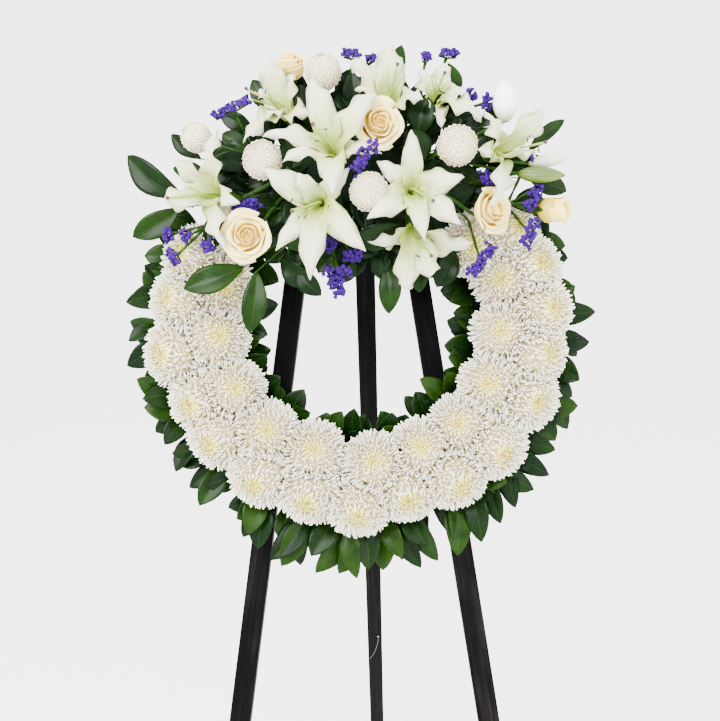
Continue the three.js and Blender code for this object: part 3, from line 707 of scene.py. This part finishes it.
def mum_place(name, row, angle, step):
    """The name, middle and facing of a head."""
    ring_radius, base, tilt = row
    outward = round_ring(angle, 1, 0)
    axis = outward * sin(radians(tilt)) + Vector((0, 0, cos(radians(tilt))))
    stem_end = outward * (ring_radius + 0.7 * step) + Vector((0, 0, base))
    return name, stem_end + axis * MUM_LIFT, axis


mums = [mum_place(f"mum_outer_{k + 1:02d}", OUTER_ROW, *head) for k, head in enumerate(OUTER_MUMS)]
mums += [mum_place(f"mum_inner_{k + 1:02d}", INNER_ROW, *head) for k, head in enumerate(INNER_MUMS)]


def stand(centre, axis, spin=0.0):
    """Puts local x, y, z at the centre, with z along the axis."""
    turn = Vector((0, 0, 1)).rotation_difference(axis).to_matrix().to_4x4()
    return Matrix.Translation(centre) @ turn @ Matrix.Rotation(spin, 4, "Z")


def add_floret(bm, points, side, half, thick, tone, pick):
    """Adds a strap floret with a round, slightly cupped end along a bent line of three points."""
    base, knee, tip = points

    def section(t):
        t = 1 - (1 - t) ** 1.7
        middle = base * (1 - t) ** 2 + knee * (2 * t * (1 - t)) + tip * t ** 2
        run = ((knee - base) * (1 - t) + (tip - knee) * t).normalized()
        up = side.cross(run).normalized()
        width = half * (0.35 + 0.65 * sin(pi / 2 * min(1, t / 0.75)))
        width *= sqrt(max(0.05, 1 - max(0, (t - 0.7) / 0.31) ** 2))
        return middle, side * width, up * (thick * (1 - 0.6 * t)), up * (0.35 * width)

    add_bar(bm, bar(4, 3), section, tone, pick)


def chrysanthemum(name, centre, axis):
    """One head. Its florets stop where it is pressed against its neighbours."""
    luck = Random(name)
    place = stand(centre, axis, luck.uniform(0, 6))
    turned = place.to_3x3()
    walls = []
    for other, at, _ in mums:
        run = at - centre
        if other != name and run.length < 2 * MUM_RADIUS:
            walls.append((run.normalized(), run.length / 2 + PRESSED_IN))
    age = luck.uniform(0, 0.5)
    lean = Vector((luck.uniform(-1, 1), luck.uniform(-1, 1), 0)) * MUM_LEAN

    def spot(out, polar, share):
        """A point at an angle from the axis, at a share of the way out, held back by the walls."""
        height = MUM_HEIGHT if polar < pi / 2 else MUM_SIDE
        reach = share / hypot(sin(polar) / MUM_RADIUS, cos(polar) / height)
        point = out * (sin(polar) * reach) + Vector((0, 0, cos(polar) * reach))
        held = place @ point - centre
        for normal, far in walls:
            towards = held.dot(normal)
            if towards > far:
                held *= far / towards
        return centre + held

    bm = bmesh.new()
    for k in range(FLORETS):
        s = sqrt((k + 0.5) / FLORETS)
        turn = k * GOLDEN + luck.uniform(-0.15, 0.15)
        polar = radians(3 + LAST_FLORET * s ** 1.05 + luck.uniform(-3, 3))
        out = Vector((cos(turn), sin(turn), 0))
        side = turned @ Vector((-out.y, out.x, 0))
        shift = turned @ lean * (1 - s)
        grown = luck.uniform(0.92, 1.05)
        if s < EYE:
            base = place @ (out * (1.5 + 9 * s))
            knee = spot(out, polar + 0.3, grown * 0.88)
            tip = spot(out, polar * 0.8, grown * (0.74 + 0.75 * s))
        else:
            base = spot(out, polar - 0.04, 0.68)
            knee = spot(out, polar + 0.1 - 0.1 * s, grown * 0.92)
            tip = spot(out, polar - 0.16 + 0.1 * s + luck.uniform(-0.09, 0.09), grown * 1.03)
        half = 1.35 + 0.75 * s + luck.uniform(-0.3, 0.3)
        heart = max(0.0, min(1.0, (0.38 - s) / 0.16))
        points = [point + shift for point in (base, knee, tip)]
        add_floret(bm, points, side, half, 1.0, heart, age + luck.uniform(0, 0.5))
    tones = bm.verts.layers.float["tone"]
    # The core inside the head takes the darkest floret-base colours: painted shade that shows through the
    # gaps between florets.
    for vert in bmesh.ops.create_icosphere(bm, subdivisions=3, radius=1)["verts"]:
        polar = acos(max(-1, min(1, vert.co.z)))
        out = Vector((vert.co.x, vert.co.y, 0)).normalized()
        vert[tones] = 1 if polar < 0.4 else 0
        sunk = MUM_CORE - 0.17 * max(0, 1 - polar / 0.5)
        vert.co = centre + (spot(out, polar, 0.97) - centre) * sunk
    return bm


for name, centre, axis in mums:
    head = chrysanthemum(name, centre, axis)
    finished(name + "_florets", head, mum_finish, cad_nodes=[name])
# One more head is almost hidden by the right end of the spray
hidden_mum = mum_place("mum_inner_12", INNER_ROW, 32, 2)
mums.append(hidden_mum)
finished("mum_inner_12_florets", chrysanthemum(*hidden_mum), mum_finish)

# ------------------------------------
# Pompon chrysanthemums. Tight cream balls of small quilled florets, each on its own green stem
# in the spray foam.
pompon_finish = material("cream_pompon")
_, _, pompon_along = along_piece(pompon_finish)
# The quill colour darkens towards the quill base: painted shade between the quills.
pompon_cream_and_painted_shade = ramp(pompon_along, (0.0, (0.56, 0.45, 0.24)),
                    (0.5, (0.8, 0.73, 0.53)), (1.0, (0.9, 0.87, 0.72)))
pompon_age = calc("MULTIPLY", attribute(pompon_finish, "pick"), 0.3)
surface(
    pompon_finish,
    Base_Color=mix(pompon_age, pompon_cream_and_painted_shade, (0.9, 0.84, 0.72)),
    Roughness=0.7,
    Subsurface_Weight=0.1,
    Subsurface_Radius=(0.004, 0.003, 0.002),
    Subsurface_Scale=0.5,
)
# Each ball: x, y and z of its middle, its radius, and x and y where its stem enters the foam
POMPONS = {
    "pompon_top": (-40, 370, 125, 27, -30, 268),
    "pompon_far_left": (-230, 280, 120, 23, -112, 240),
    "pompon_left": (-125, 230, 172, 28, -92, 232),
    "pompon_right": (150, 245, 168, 29, 96, 240),
    "pompon_centre": (25, 180, 180, 28, 22, 212),
}
QUILLS = 620
POMPON_CORE = 0.93
POMPON_FOOT_Z = 84
stems = bmesh.new()
for name, (x, y, z, radius, foot_x, foot_y) in POMPONS.items():
    luck = Random(name)
    centre = Vector((x, y, z))
    foot = Vector((foot_x, foot_y, POMPON_FOOT_Z))
    axis = (centre - foot).normalized()
    place = stand(centre, (axis + Vector((0, 0, 1.2))).normalized(), luck.uniform(0, 6))
    bm = bmesh.new()
    # The core ball under the quills takes the darkest quill-base colour: painted shade that shows between
    # the quills.
    bmesh.ops.create_icosphere(bm, subdivisions=3, radius=radius * POMPON_CORE,
                               matrix=Matrix.Translation(centre))
    for k in range(QUILLS):
        polar = acos(1 - 2 * (k + 0.5) / QUILLS)
        turn = k * GOLDEN + luck.uniform(-0.1, 0.1)
        out = Vector((cos(turn), sin(turn), 0))
        side = place.to_3x3() @ Vector((-out.y, out.x, 0))
        grown = radius * luck.uniform(0.95, 1.02)
        points = []
        for angle, share in ((polar + 0.3, 0.85), (polar + 0.1, 0.98), (polar - 0.02, 1.0)):
            ray = out * sin(angle) + Vector((0, 0, cos(angle)))
            points.append(place @ (ray * (grown * share)))
        add_floret(bm, points, -side, 1.9, 0.8, 0.0, luck.uniform(0, 1))
    finished(name + "_florets", bm, pompon_finish, cad_nodes=[name])
    knee = foot + (centre - foot) * 0.5 + Vector((0, 0, 5))
    add_stem(stems, [foot, knee, centre - axis * radius * 0.7], 2.2, 2.0)
finished("pompon_stems", stems, stem_finish)

# ------------------------------------
# Roses. Cream roses with a warm apricot heart: velvety petals wound tightly in the middle, with
# broader ones rolled back at the lip, five green sepals and a stem in the foam.
rose_finish = material("cream_rose")
rose_map, _, rose_along = along_piece(rose_finish)
# Both petal colours darken towards the petal base. This is partly the petals' real warm base and partly
# painted shade deep between the petals.
rose_outer_and_painted_shade = ramp(rose_along, (0.0, (0.48, 0.33, 0.02)), (0.3, (0.72, 0.5, 0.07)),
                  (0.75, (0.86, 0.66, 0.17)), (1.0, (0.92, 0.79, 0.34)))
rose_heart_and_painted_shade = ramp(rose_along, (0.0, (0.47, 0.17, 0.001)), (0.6, (0.7, 0.36, 0.005)),
                  (1.0, (0.87, 0.6, 0.045)))
rose_lines = noise(stretched(rose_map, (26, 2, 1)), 1.0, 4)
surface(
    rose_finish,
    Base_Color=mix(attribute(rose_finish, "tone"), rose_outer_and_painted_shade, rose_heart_and_painted_shade),
    Roughness=0.55,
    Normal=bump(rose_lines, 0.0004, 0.25),
    Subsurface_Weight=0.15,
    Subsurface_Radius=(0.006, 0.004, 0.002),
    Subsurface_Scale=0.6,
)
# Each rose: x, y and z of the bloom, its radius, length and facing, and where its stem enters the foam
ROSES = {
    "rose_top": (-90, 385, 115, 22, 30, (-0.1, 0.75, 0.6), -62, 262),
    "rose_upper": (40, 280, 165, 31, 30, (0.25, -0.05, 0.95), 30, 250),
    "rose_left": (-150, 125, 165, 32, 28, (0, -0.05, 1), -100, 205),
    "rose_right": (200, 155, 150, 29, 32, (0.65, -0.05, 0.75), 102, 214),
    "rose_bud": (296, 158, 130, 28, 38, (0.95, -0.1, 0.3), 118, 226),
}
BLOOM_LAYERS = [0.03, 0.09, 0.15, 0.22, 0.29, 0.36, 0.43, 0.5,
                0.57, 0.64, 0.71, 0.78, 0.85, 0.91, 0.96, 1.0]
BUD_LAYERS = [0.05, 0.16, 0.28, 0.4, 0.52, 0.62, 0.72]
ROSE_FOOT_Z = 86
PETAL_TURN = 2.25
SEPALS = 5
PETAL = sheet(10, 10)


def rose_petal(place, radius, length, layer, turn, wobble):
    """The skin of one petal. layer is 0 in the heart and 1 outside."""
    spread = 1.45 - 0.4 * layer
    waist = radius * (0.16 + 0.74 * layer)
    lip = length * (0.5 + 0.12 * sin(3 * wobble) - 0.3 * layer ** 2)
    roll = 0.34 * radius * layer ** 2

    def skin(x, t):
        wound = 1 - 0.22 * (1 - layer) * x
        round_off = 1 - 0.13 * x * x * t
        belly = sin(pi / 2 * min(1, t / 0.6)) ** 0.7
        curl = max(0, (t - 0.72) / 0.28) ** 2
        rim = 0.05 * radius * curl * sin(5 * x + wobble)
        out = waist * (0.3 + 0.7 * belly) * wound + roll * curl + rim
        rise = -0.75 * length + (lip + 0.75 * length) * t * round_off - 0.3 * roll * curl
        angle = turn + spread * x * (0.55 + 0.45 * belly)
        return place @ Vector((out * cos(angle), out * sin(angle), rise))

    return skin


stems = bmesh.new()
for name, (x, y, z, radius, length, facing, foot_x, foot_y) in ROSES.items():
    luck = Random(name)
    axis = Vector(facing).normalized()
    centre = Vector((x, y, z))
    place = stand(centre, axis, luck.uniform(0, 6))
    bm = bmesh.new()
    for k, layer in enumerate(BUD_LAYERS if name == "rose_bud" else BLOOM_LAYERS):
        turn = k * PETAL_TURN + luck.uniform(-0.2, 0.2)
        skin = rose_petal(place, radius, length, layer, turn, luck.uniform(0, 6))
        add_sheet(bm, PETAL, skin, 0.9, tone=max(0, 1 - 1.5 * layer), pick=luck.random())
    # The filling inside the bloom takes the darkest petal-base colour: painted shade that shows between the
    # petals.
    filling = Matrix.Diagonal((0.66 * radius, 0.66 * radius, 0.42 * length, 1))
    filling = place @ Matrix.Translation((0, 0, -0.3 * length)) @ filling
    bmesh.ops.create_uvsphere(bm, u_segments=16, v_segments=10, radius=1, matrix=filling)
    finished(name + "_petals", bm, rose_finish, cad_nodes=[name])
    base = centre - axis * (0.78 * length)
    foot = Vector((foot_x, foot_y, ROSE_FOOT_Z))
    add_stem(stems, [foot, foot + (base - foot) * 0.5, base - axis * 12, base - axis * 4], 2.8, 2.6)
    add_stem(stems, [base - axis * 7, base - axis * 2, base + axis * 3], 3.5, 8.5, sides=12, steps=4)
    for k in range(SEPALS):
        angle = k * tau / SEPALS
        out = place.to_3x3() @ Vector((cos(angle), sin(angle), 0))
        add_leaf(stems, base + out * 5, base + out * (0.62 * radius) + axis * 13, 7, 0.0, 0.3)
finished("rose_stems", stems, stem_finish)

# ------------------------------------
# Oriental lilies. Waxy white blooms with six recurved, ruffled tepals, a lime throat and
# midrib, pale green stamens and a purple stigma. Up to three share a stem, pushed into the foam.
lily_finish = material("white_lily")
lily_map, lily_across, lily_along = along_piece(lily_finish)
lily_off = off_middle(lily_across)
lily_throat = ramp(lily_along, (0.15, 1.0), (0.38, 0.55), (0.65, 0.16), (1.0, 0.0))
lily_rib = calc("MULTIPLY", ramp(lily_off, (0.0, 1.0), (0.1, 0.35), (0.3, 0.0)),
                ramp(lily_along, (0.15, 1.0), (0.6, 0.4), (0.95, 0.0)))
lily_lime = calc("MULTIPLY", calc("MAXIMUM", lily_rib, lily_throat), 0.85)
lily_lines = noise(stretched(lily_map, (40, 1.6, 1)), 1.0, 4)
# The tepal white is kept dark all over: painted shade laid into the white, with darker and paler streaks.
lily_white_and_painted_shade = ramp(lily_lines, (0.3, (0.4, 0.4, 0.25)), (0.62, (0.74, 0.725, 0.59)))
# The tepals are greyer towards their edges: painted shade.
lily_edge_painted_shade = ramp(lily_off, (0.08, 1.0), (0.36, 0.8), (0.5, 0.6))
lily_shaded = mix(1.0, lily_white_and_painted_shade, lily_edge_painted_shade, "MULTIPLY")
surface(
    lily_finish,
    Base_Color=mix(lily_lime, lily_shaded, (0.34, 0.43, 0.006)),
    Roughness=0.42,
    Normal=bump(lily_lines, 0.0012, 0.6),
    Subsurface_Weight=0.15,
    Subsurface_Radius=(0.006, 0.006, 0.004),
    Subsurface_Scale=0.6,
)
style_finish = material("lily_style")
_, _, style_along = along_piece(style_finish)
style_noise = noise(object_place(style_finish), 300, 3)
style_green = ramp(style_along, (0.0, (0.12, 0.19, 0.008)), (1.0, (0.24, 0.33, 0.03)))
style_share = calc("MULTIPLY", style_noise, 0.3)
surface(
    style_finish,
    Base_Color=mix(style_share, style_green, (0.34, 0.43, 0.1)),
    Roughness=0.4,
)
anther_finish = material("lily_anther")
anther_dust = noise(object_place(anther_finish), 900, 3)
surface(
    anther_finish,
    Base_Color=ramp(anther_dust, (0.35, (0.025, 0.01, 0.012)), (0.65, (0.08, 0.04, 0.038))),
    Roughness=0.8,
    Normal=bump(anther_dust, 0.0003, 0.5),
)
# Each bloom: throat, facing, stem foot, end of the pistil, and its petal tips, widest first
LILIES = {
    "lily_stem_centre": [
        [(-25, 240, 165), (-0.05, 0.35, 0.93), (-36, 244, 118), (-50, 268, 205),
         [(-55, 345, 175), (40, 320, 180), (-25, 170, 212),
          (-125, 262, 185), (45, 235, 178), (-95, 220, 200)]],
        [(-45, 170, 160), (-0.1, -0.1, 1), (-36, 244, 118), (-80, 150, 205),
         [(-125, 215, 190), (-60, 55, 190), (20, 95, 185),
          (-110, 100, 175), (0, 215, 187), (-75, 205, 200)]],
        [(-95, 310, 125), (-0.3, 0.6, 0.7), (-36, 244, 118), (-148, 335, 160),
         [(-120, 380, 140), (-60, 300, 150), (-160, 265, 140),
          (-80, 365, 135), (-135, 335, 145), (-120, 295, 155)]],
    ],
    "lily_stem_left": [
        [(-190, 190, 140), (-0.7, 0.05, 0.7), (-116, 214, 108), (-258, 178, 180),
         [(-190, 280, 165), (-265, 175, 170), (-180, 105, 180),
          (-250, 240, 160), (-155, 165, 195), (-175, 145, 150)]],
    ],
    "lily_stem_lower": [
        [(85, 185, 160), (0, 0, 1), (64, 212, 116), (112, 160, 205),
         [(160, 200, 175), (20, 140, 190), (155, 130, 180),
          (85, 265, 190), (35, 225, 178), (100, 105, 205)]],
        [(85, 135, 135), (0.1, -0.75, 0.6), (64, 212, 116), (110, 90, 180),
         [(70, 45, 150), (175, 110, 150), (115, 65, 165), (20, 115, 140)]],
    ],
    "lily_stem_top": [
        [(55, 315, 125), (0.05, 0.55, 0.8), (46, 268, 114), (68, 362, 165),
         [(55, 405, 135), (105, 315, 160), (-5, 380, 140), (75, 390, 125), (5, 335, 150), (50, 268, 150)]],
        [(120, 325, 115), (0.3, 0.5, 0.8), (46, 268, 114), (135, 352, 155),
         [(190, 285, 145), (100, 370, 125), (170, 330, 135), (140, 380, 120), (132, 280, 140)]],
    ],
    "lily_stem_right": [
        [(210, 240, 135), (0.75, 0.1, 0.65), (118, 250, 104), (272, 246, 170),
         [(190, 295, 165), (195, 155, 180), (275, 305, 145), (255, 230, 175), (180, 240, 165)]],
    ],
}
WIDE_TEPAL = 18.5
NARROW_TEPAL = 13.5
STAMENS = 6
WITH_ANTHER = 0.35
ANTHER_HALF = 3.6
LILY_FOOT_Z = 86
TEPAL = sheet(12, 22)


def tepal_skin(throat, axis, tip, half, phase):
    """The skin of a tepal from deep in the throat, up, out and over to its tip."""
    reach = tip - throat
    along = reach.dot(axis)
    out = reach - axis * along
    span = out.length
    out.normalize()
    length = reach.length
    points = [
        throat + out * 2 - axis * 14,
        throat + out * (0.2 * length) + axis * (0.3 * length),
        throat + out * (0.6 * span) + axis * (along + 0.24 * length),
        tip,
    ]
    side = axis.cross(out).normalized()

    def skin(x, t):
        u = 1 - t
        a, b, c, d = points
        middle = a * u ** 3 + b * (3 * u * u * t) + c * (3 * u * t * t) + d * t ** 3
        run = (b - a) * u * u + (c - b) * (2 * u * t) + (d - c) * t * t
        up = run.cross(side).normalized()
        width = 0.7 + 1.8 * (1 - t) + half * t ** 0.9 * (1 - t) ** 1.15 / 0.25
        trough = (0.75 - 1.7 * t) * width * x * x - 0.04 * length * max(0, (t - 0.8) / 0.2) ** 2
        swell = sin(pi * t) ** 0.5
        ruffle = 0.5 * half * abs(x) ** 3 * sin(17 * t + phase + 2.2 * x) * swell
        keel = -1.3 * exp(-(x / 0.16) ** 2) * swell
        return middle + side * (x * width) + up * (trough + ruffle + keel)

    return skin


styles = bmesh.new()
anthers = bmesh.new()
stems = bmesh.new()
for name, blooms in LILIES.items():
    bm = bmesh.new()
    luck = Random(name)
    for throat, faces, foot, pistil, tips in blooms:
        throat = Vector(throat)
        foot = Vector(foot)
        pistil = Vector(pistil)
        axis = Vector(faces).normalized()
        for k, tip in enumerate(tips):
            half = WIDE_TEPAL if k < 3 else NARROW_TEPAL
            skin = tepal_skin(throat, axis, Vector(tip), half, luck.uniform(0, 6))
            add_sheet(bm, TEPAL, skin, 1.1, pick=luck.random())
        heart = throat - axis * 12
        reach = pistil - throat
        aim = reach.normalized()
        length = reach.length
        add_stem(styles, [heart, throat + axis * 14, pistil - reach * 0.3 + axis * 3, pistil], 2.0, 1.5)
        add_stem(anthers, [pistil - aim * 1.5, pistil + axis, pistil + axis * 2.5], 2.0, 2.9, steps=4)
        for k in range(STAMENS):
            turn = stand(throat, aim, k * tau / STAMENS + luck.uniform(-0.2, 0.2))
            spread = length * luck.uniform(0.16, 0.3)
            end = turn @ Vector((spread, 0, length * luck.uniform(0.55, 0.8)))
            add_stem(styles, [heart, turn @ Vector((3, 0, length * 0.3)), end], 1.2, 0.8, sides=6)
            if luck.random() < WITH_ANTHER:
                across = turn.to_3x3() @ Vector((0, ANTHER_HALF, 0))
                add_stem(anthers, [end - across, end, end + across], 1.2, 1.0, sides=6, steps=4)
        bulb = throat - axis * 34
        add_stem(stems, [bulb, throat - axis * 20, throat - axis * 8], 3.6, 8.0, sides=10)
        sunk = Vector((foot.x * 0.92, foot.y, LILY_FOOT_Z))
        add_stem(stems, [sunk, foot, foot + (bulb - foot) * 0.5, bulb], 3.0, 3.0)
    finished(name + "_tepals", bm, lily_finish, cad_nodes=[name])
finished("lily_styles", styles, style_finish)
finished("lily_anthers", anthers, anther_finish)
finished("lily_stems", stems, stem_finish)

# ------------------------------------
# Lily buds. On the right-hand stem stand a swollen white bud, a long green one and a pale one
# whose tepals are just parting.
bud_finish = material("lily_bud")
bud_map, _, bud_along = along_piece(bud_finish)
bud_streak = noise(stretched(bud_map, (12, 1, 1)), 1.0, 3)
bud_green = ramp(bud_streak, (0.35, (0.022, 0.055, 0.001)), (0.65, (0.1, 0.155, 0.008)))
bud_white = ramp(bud_along, (0.0, (0.5, 0.6, 0.22)), (0.35, (0.88, 0.88, 0.8)), (1.0, (0.93, 0.93, 0.88)))
surface(
    bud_finish,
    Base_Color=mix(attribute(bud_finish, "tone"), bud_white, bud_green),
    Roughness=0.42,
    Normal=bump(bud_streak, 0.0006, 0.4),
)
# Each bud: base, tip, radius and how green it is
LILY_BUDS = [
    [(225, 288, 128), (220, 345, 140), 17, 0.0],
    [(240, 212, 130), (305, 205, 145), 11, 1.0],
    [(258, 228, 122), (316, 235, 132), 9, 0.45],
]
bm = bmesh.new()
stems = bmesh.new()
foot = Vector(LILIES["lily_stem_right"][0][2])
for base, tip, radius, green in LILY_BUDS:
    base = Vector(base)
    run = Vector(tip) - base
    place = stand(base, run.normalized())
    for k in range(3):
        turn = k * tau / 3

        def fold(x, t, turn=turn):
            out = radius * sin(pi * (0.04 + 0.93 * t) ** 0.9) ** 0.8
            out *= 1 + 0.06 * cos(pi * x)
            angle = turn + 1.15 * x
            return place @ Vector((out * cos(angle), out * sin(angle), run.length * t))

        add_sheet(bm, PETAL, fold, 1.2, tone=green)
    add_stem(stems, [foot, foot + (base - foot) * 0.5, base + run * 0.05], 2.6, 2.6)
finished("lily_buds", bm, bud_finish)
finished("lily_bud_stems", stems, stem_finish)

# ------------------------------------
# Statice. Papery violet calyces stand in short double combs at the ends of winged green
# branches, which are pushed into the spray foam.
statice_finish = material("violet_statice")
_, _, statice_along = along_piece(statice_finish)
statice_violet = ramp(statice_along, (0.0, (0.01, 0.026, 0.006)),
                      (0.3, (0.005, 0.0008, 0.022)), (0.7, (0.013, 0.0012, 0.06)),
                      (1.0, (0.032, 0.0035, 0.13)))
statice_share = calc("MULTIPLY", attribute(statice_finish, "pick"), 0.4)
surface(
    statice_finish,
    Base_Color=mix(statice_share, statice_violet, (0.006, 0.0008, 0.025)),
    Roughness=0.7,
    Specular_IOR_Level=0.1,
)
# Each branch: where it forks, and the start and end of each of its combs
STATICE = {
    "statice_left": [(-130, 205, 74), [
        [(-160, 290, 112), [[(-200, 305, 140), (-148, 330, 138)]]],
        [(-150, 190, 118), [[(-168, 160, 160), (-132, 172, 160)]]],
        [(-215, 150, 118), [[(-275, 140, 140), (-268, 126, 142)], [(-268, 108, 145), (-255, 88, 147)],
                            [(-245, 134, 145), (-240, 124, 146)], [(-212, 120, 150), (-206, 106, 150)]]],
        [(-44, 172, 72), [[(-38, 118, 140), (-28, 108, 140)], [(-14, 98, 142), (12, 94, 142)],
                          [(-40, 72, 150), (-4, 72, 150)], [(-36, 56, 150), (-14, 56, 150)],
                          [(-22, 44, 150), (-20, 40, 150)]]],
    ]],
    "statice_top": [(0, 296, 72), [
        [(-2, 330, 92), [[(-10, 402, 118), (14, 400, 118)], [(26, 392, 118), (36, 392, 118)]]],
        [(92, 306, 80), [[(108, 395, 112), (118, 396, 112)], [(134, 402, 112), (160, 398, 112)],
                         [(176, 334, 112), (184, 338, 112)], [(198, 312, 126), (202, 328, 126)]]],
        [(8, 292, 124), [[(34, 244, 194), (4, 204, 194)]]],
    ]],
    "statice_right": [(132, 208, 76), [
        [(170, 205, 110), [[(190, 212, 152), (198, 192, 152)]]],
        [(228, 172, 104), [[(264, 182, 148), (250, 156, 148)], [(262, 140, 150), (246, 104, 150)],
                           [(262, 240, 124), (258, 238, 124)], [(274, 196, 130), (268, 194, 130)]]],
        [(170, 150, 112), [[(198, 104, 158), (166, 62, 158)]]],
    ]],
}
STATICE_FOOT_Z = 88
CALYX_STEP = 4.2


def add_ribbon(bm, start, end, half):
    """Adds a thin winged branch, flat to the front."""
    run = (end - start).normalized()
    side = run.cross(Vector((0, 0, 1))).normalized()

    def section(t):
        width = half * (1 + 0.25 * sin(14 * t))
        return start.lerp(end, t), side * width, side.cross(run) * 0.9, Vector()

    add_bar(bm, bar(4, 6), section)


stems = bmesh.new()
for name, (root, branches) in STATICE.items():
    luck = Random(name)
    bm = bmesh.new()
    for fork, combs in branches:
        root_at = Vector((root[0] * 0.9, root[1], STATICE_FOOT_Z))
        fork_at = Vector(fork)
        add_ribbon(stems, root_at, fork_at, 1.8)
        for start, end in combs:
            start = Vector(start)
            end = Vector(end)
            run = end - start
            middle = (start + end) / 2
            out = (middle - fork_at).normalized()
            out = (out + Vector((0, 0, 0.7))).normalized()
            spine = [start - out * 9, middle - out * 11, end - out * 9]
            add_ribbon(stems, fork_at, spine[1], 2.2)
            add_stem(stems, spine, 1.6, 1.3, sides=6)
            cross = run.cross(out).normalized() if run.length > 1 else out.orthogonal().normalized()
            count = max(2, round((run.length + 8) / CALYX_STEP))
            for k in range(count):
                for row in (-1, 0, 1):
                    base = start.lerp(end, (k + 0.5 * (row % 2)) / count) - out * 8 + cross * (2.2 * row)
                    aim = out + cross * (0.45 * row) + Vector([luck.uniform(-0.4, 0.4) for _ in range(3)])
                    place = stand(base, aim.normalized(), luck.uniform(0, 6))
                    length = luck.uniform(9, 12)
                    for vert in add_copy(bm, bar(10, 4), 0.0, luck.random()):
                        x, y, t = vert.co
                        flare = 0.8 + 0.5 * t + 2.1 * max(0, (t - 0.4) / 0.6) ** 1.5
                        flare *= 1 + 0.22 * t * t * cos(5 * atan2(y, x))
                        vert.co = place @ Vector((x * flare, y * flare, length * t))
    finished(name + "_calyces", bm, statice_finish, cad_nodes=[name])
finished("statice_branches", stems, stem_finish)
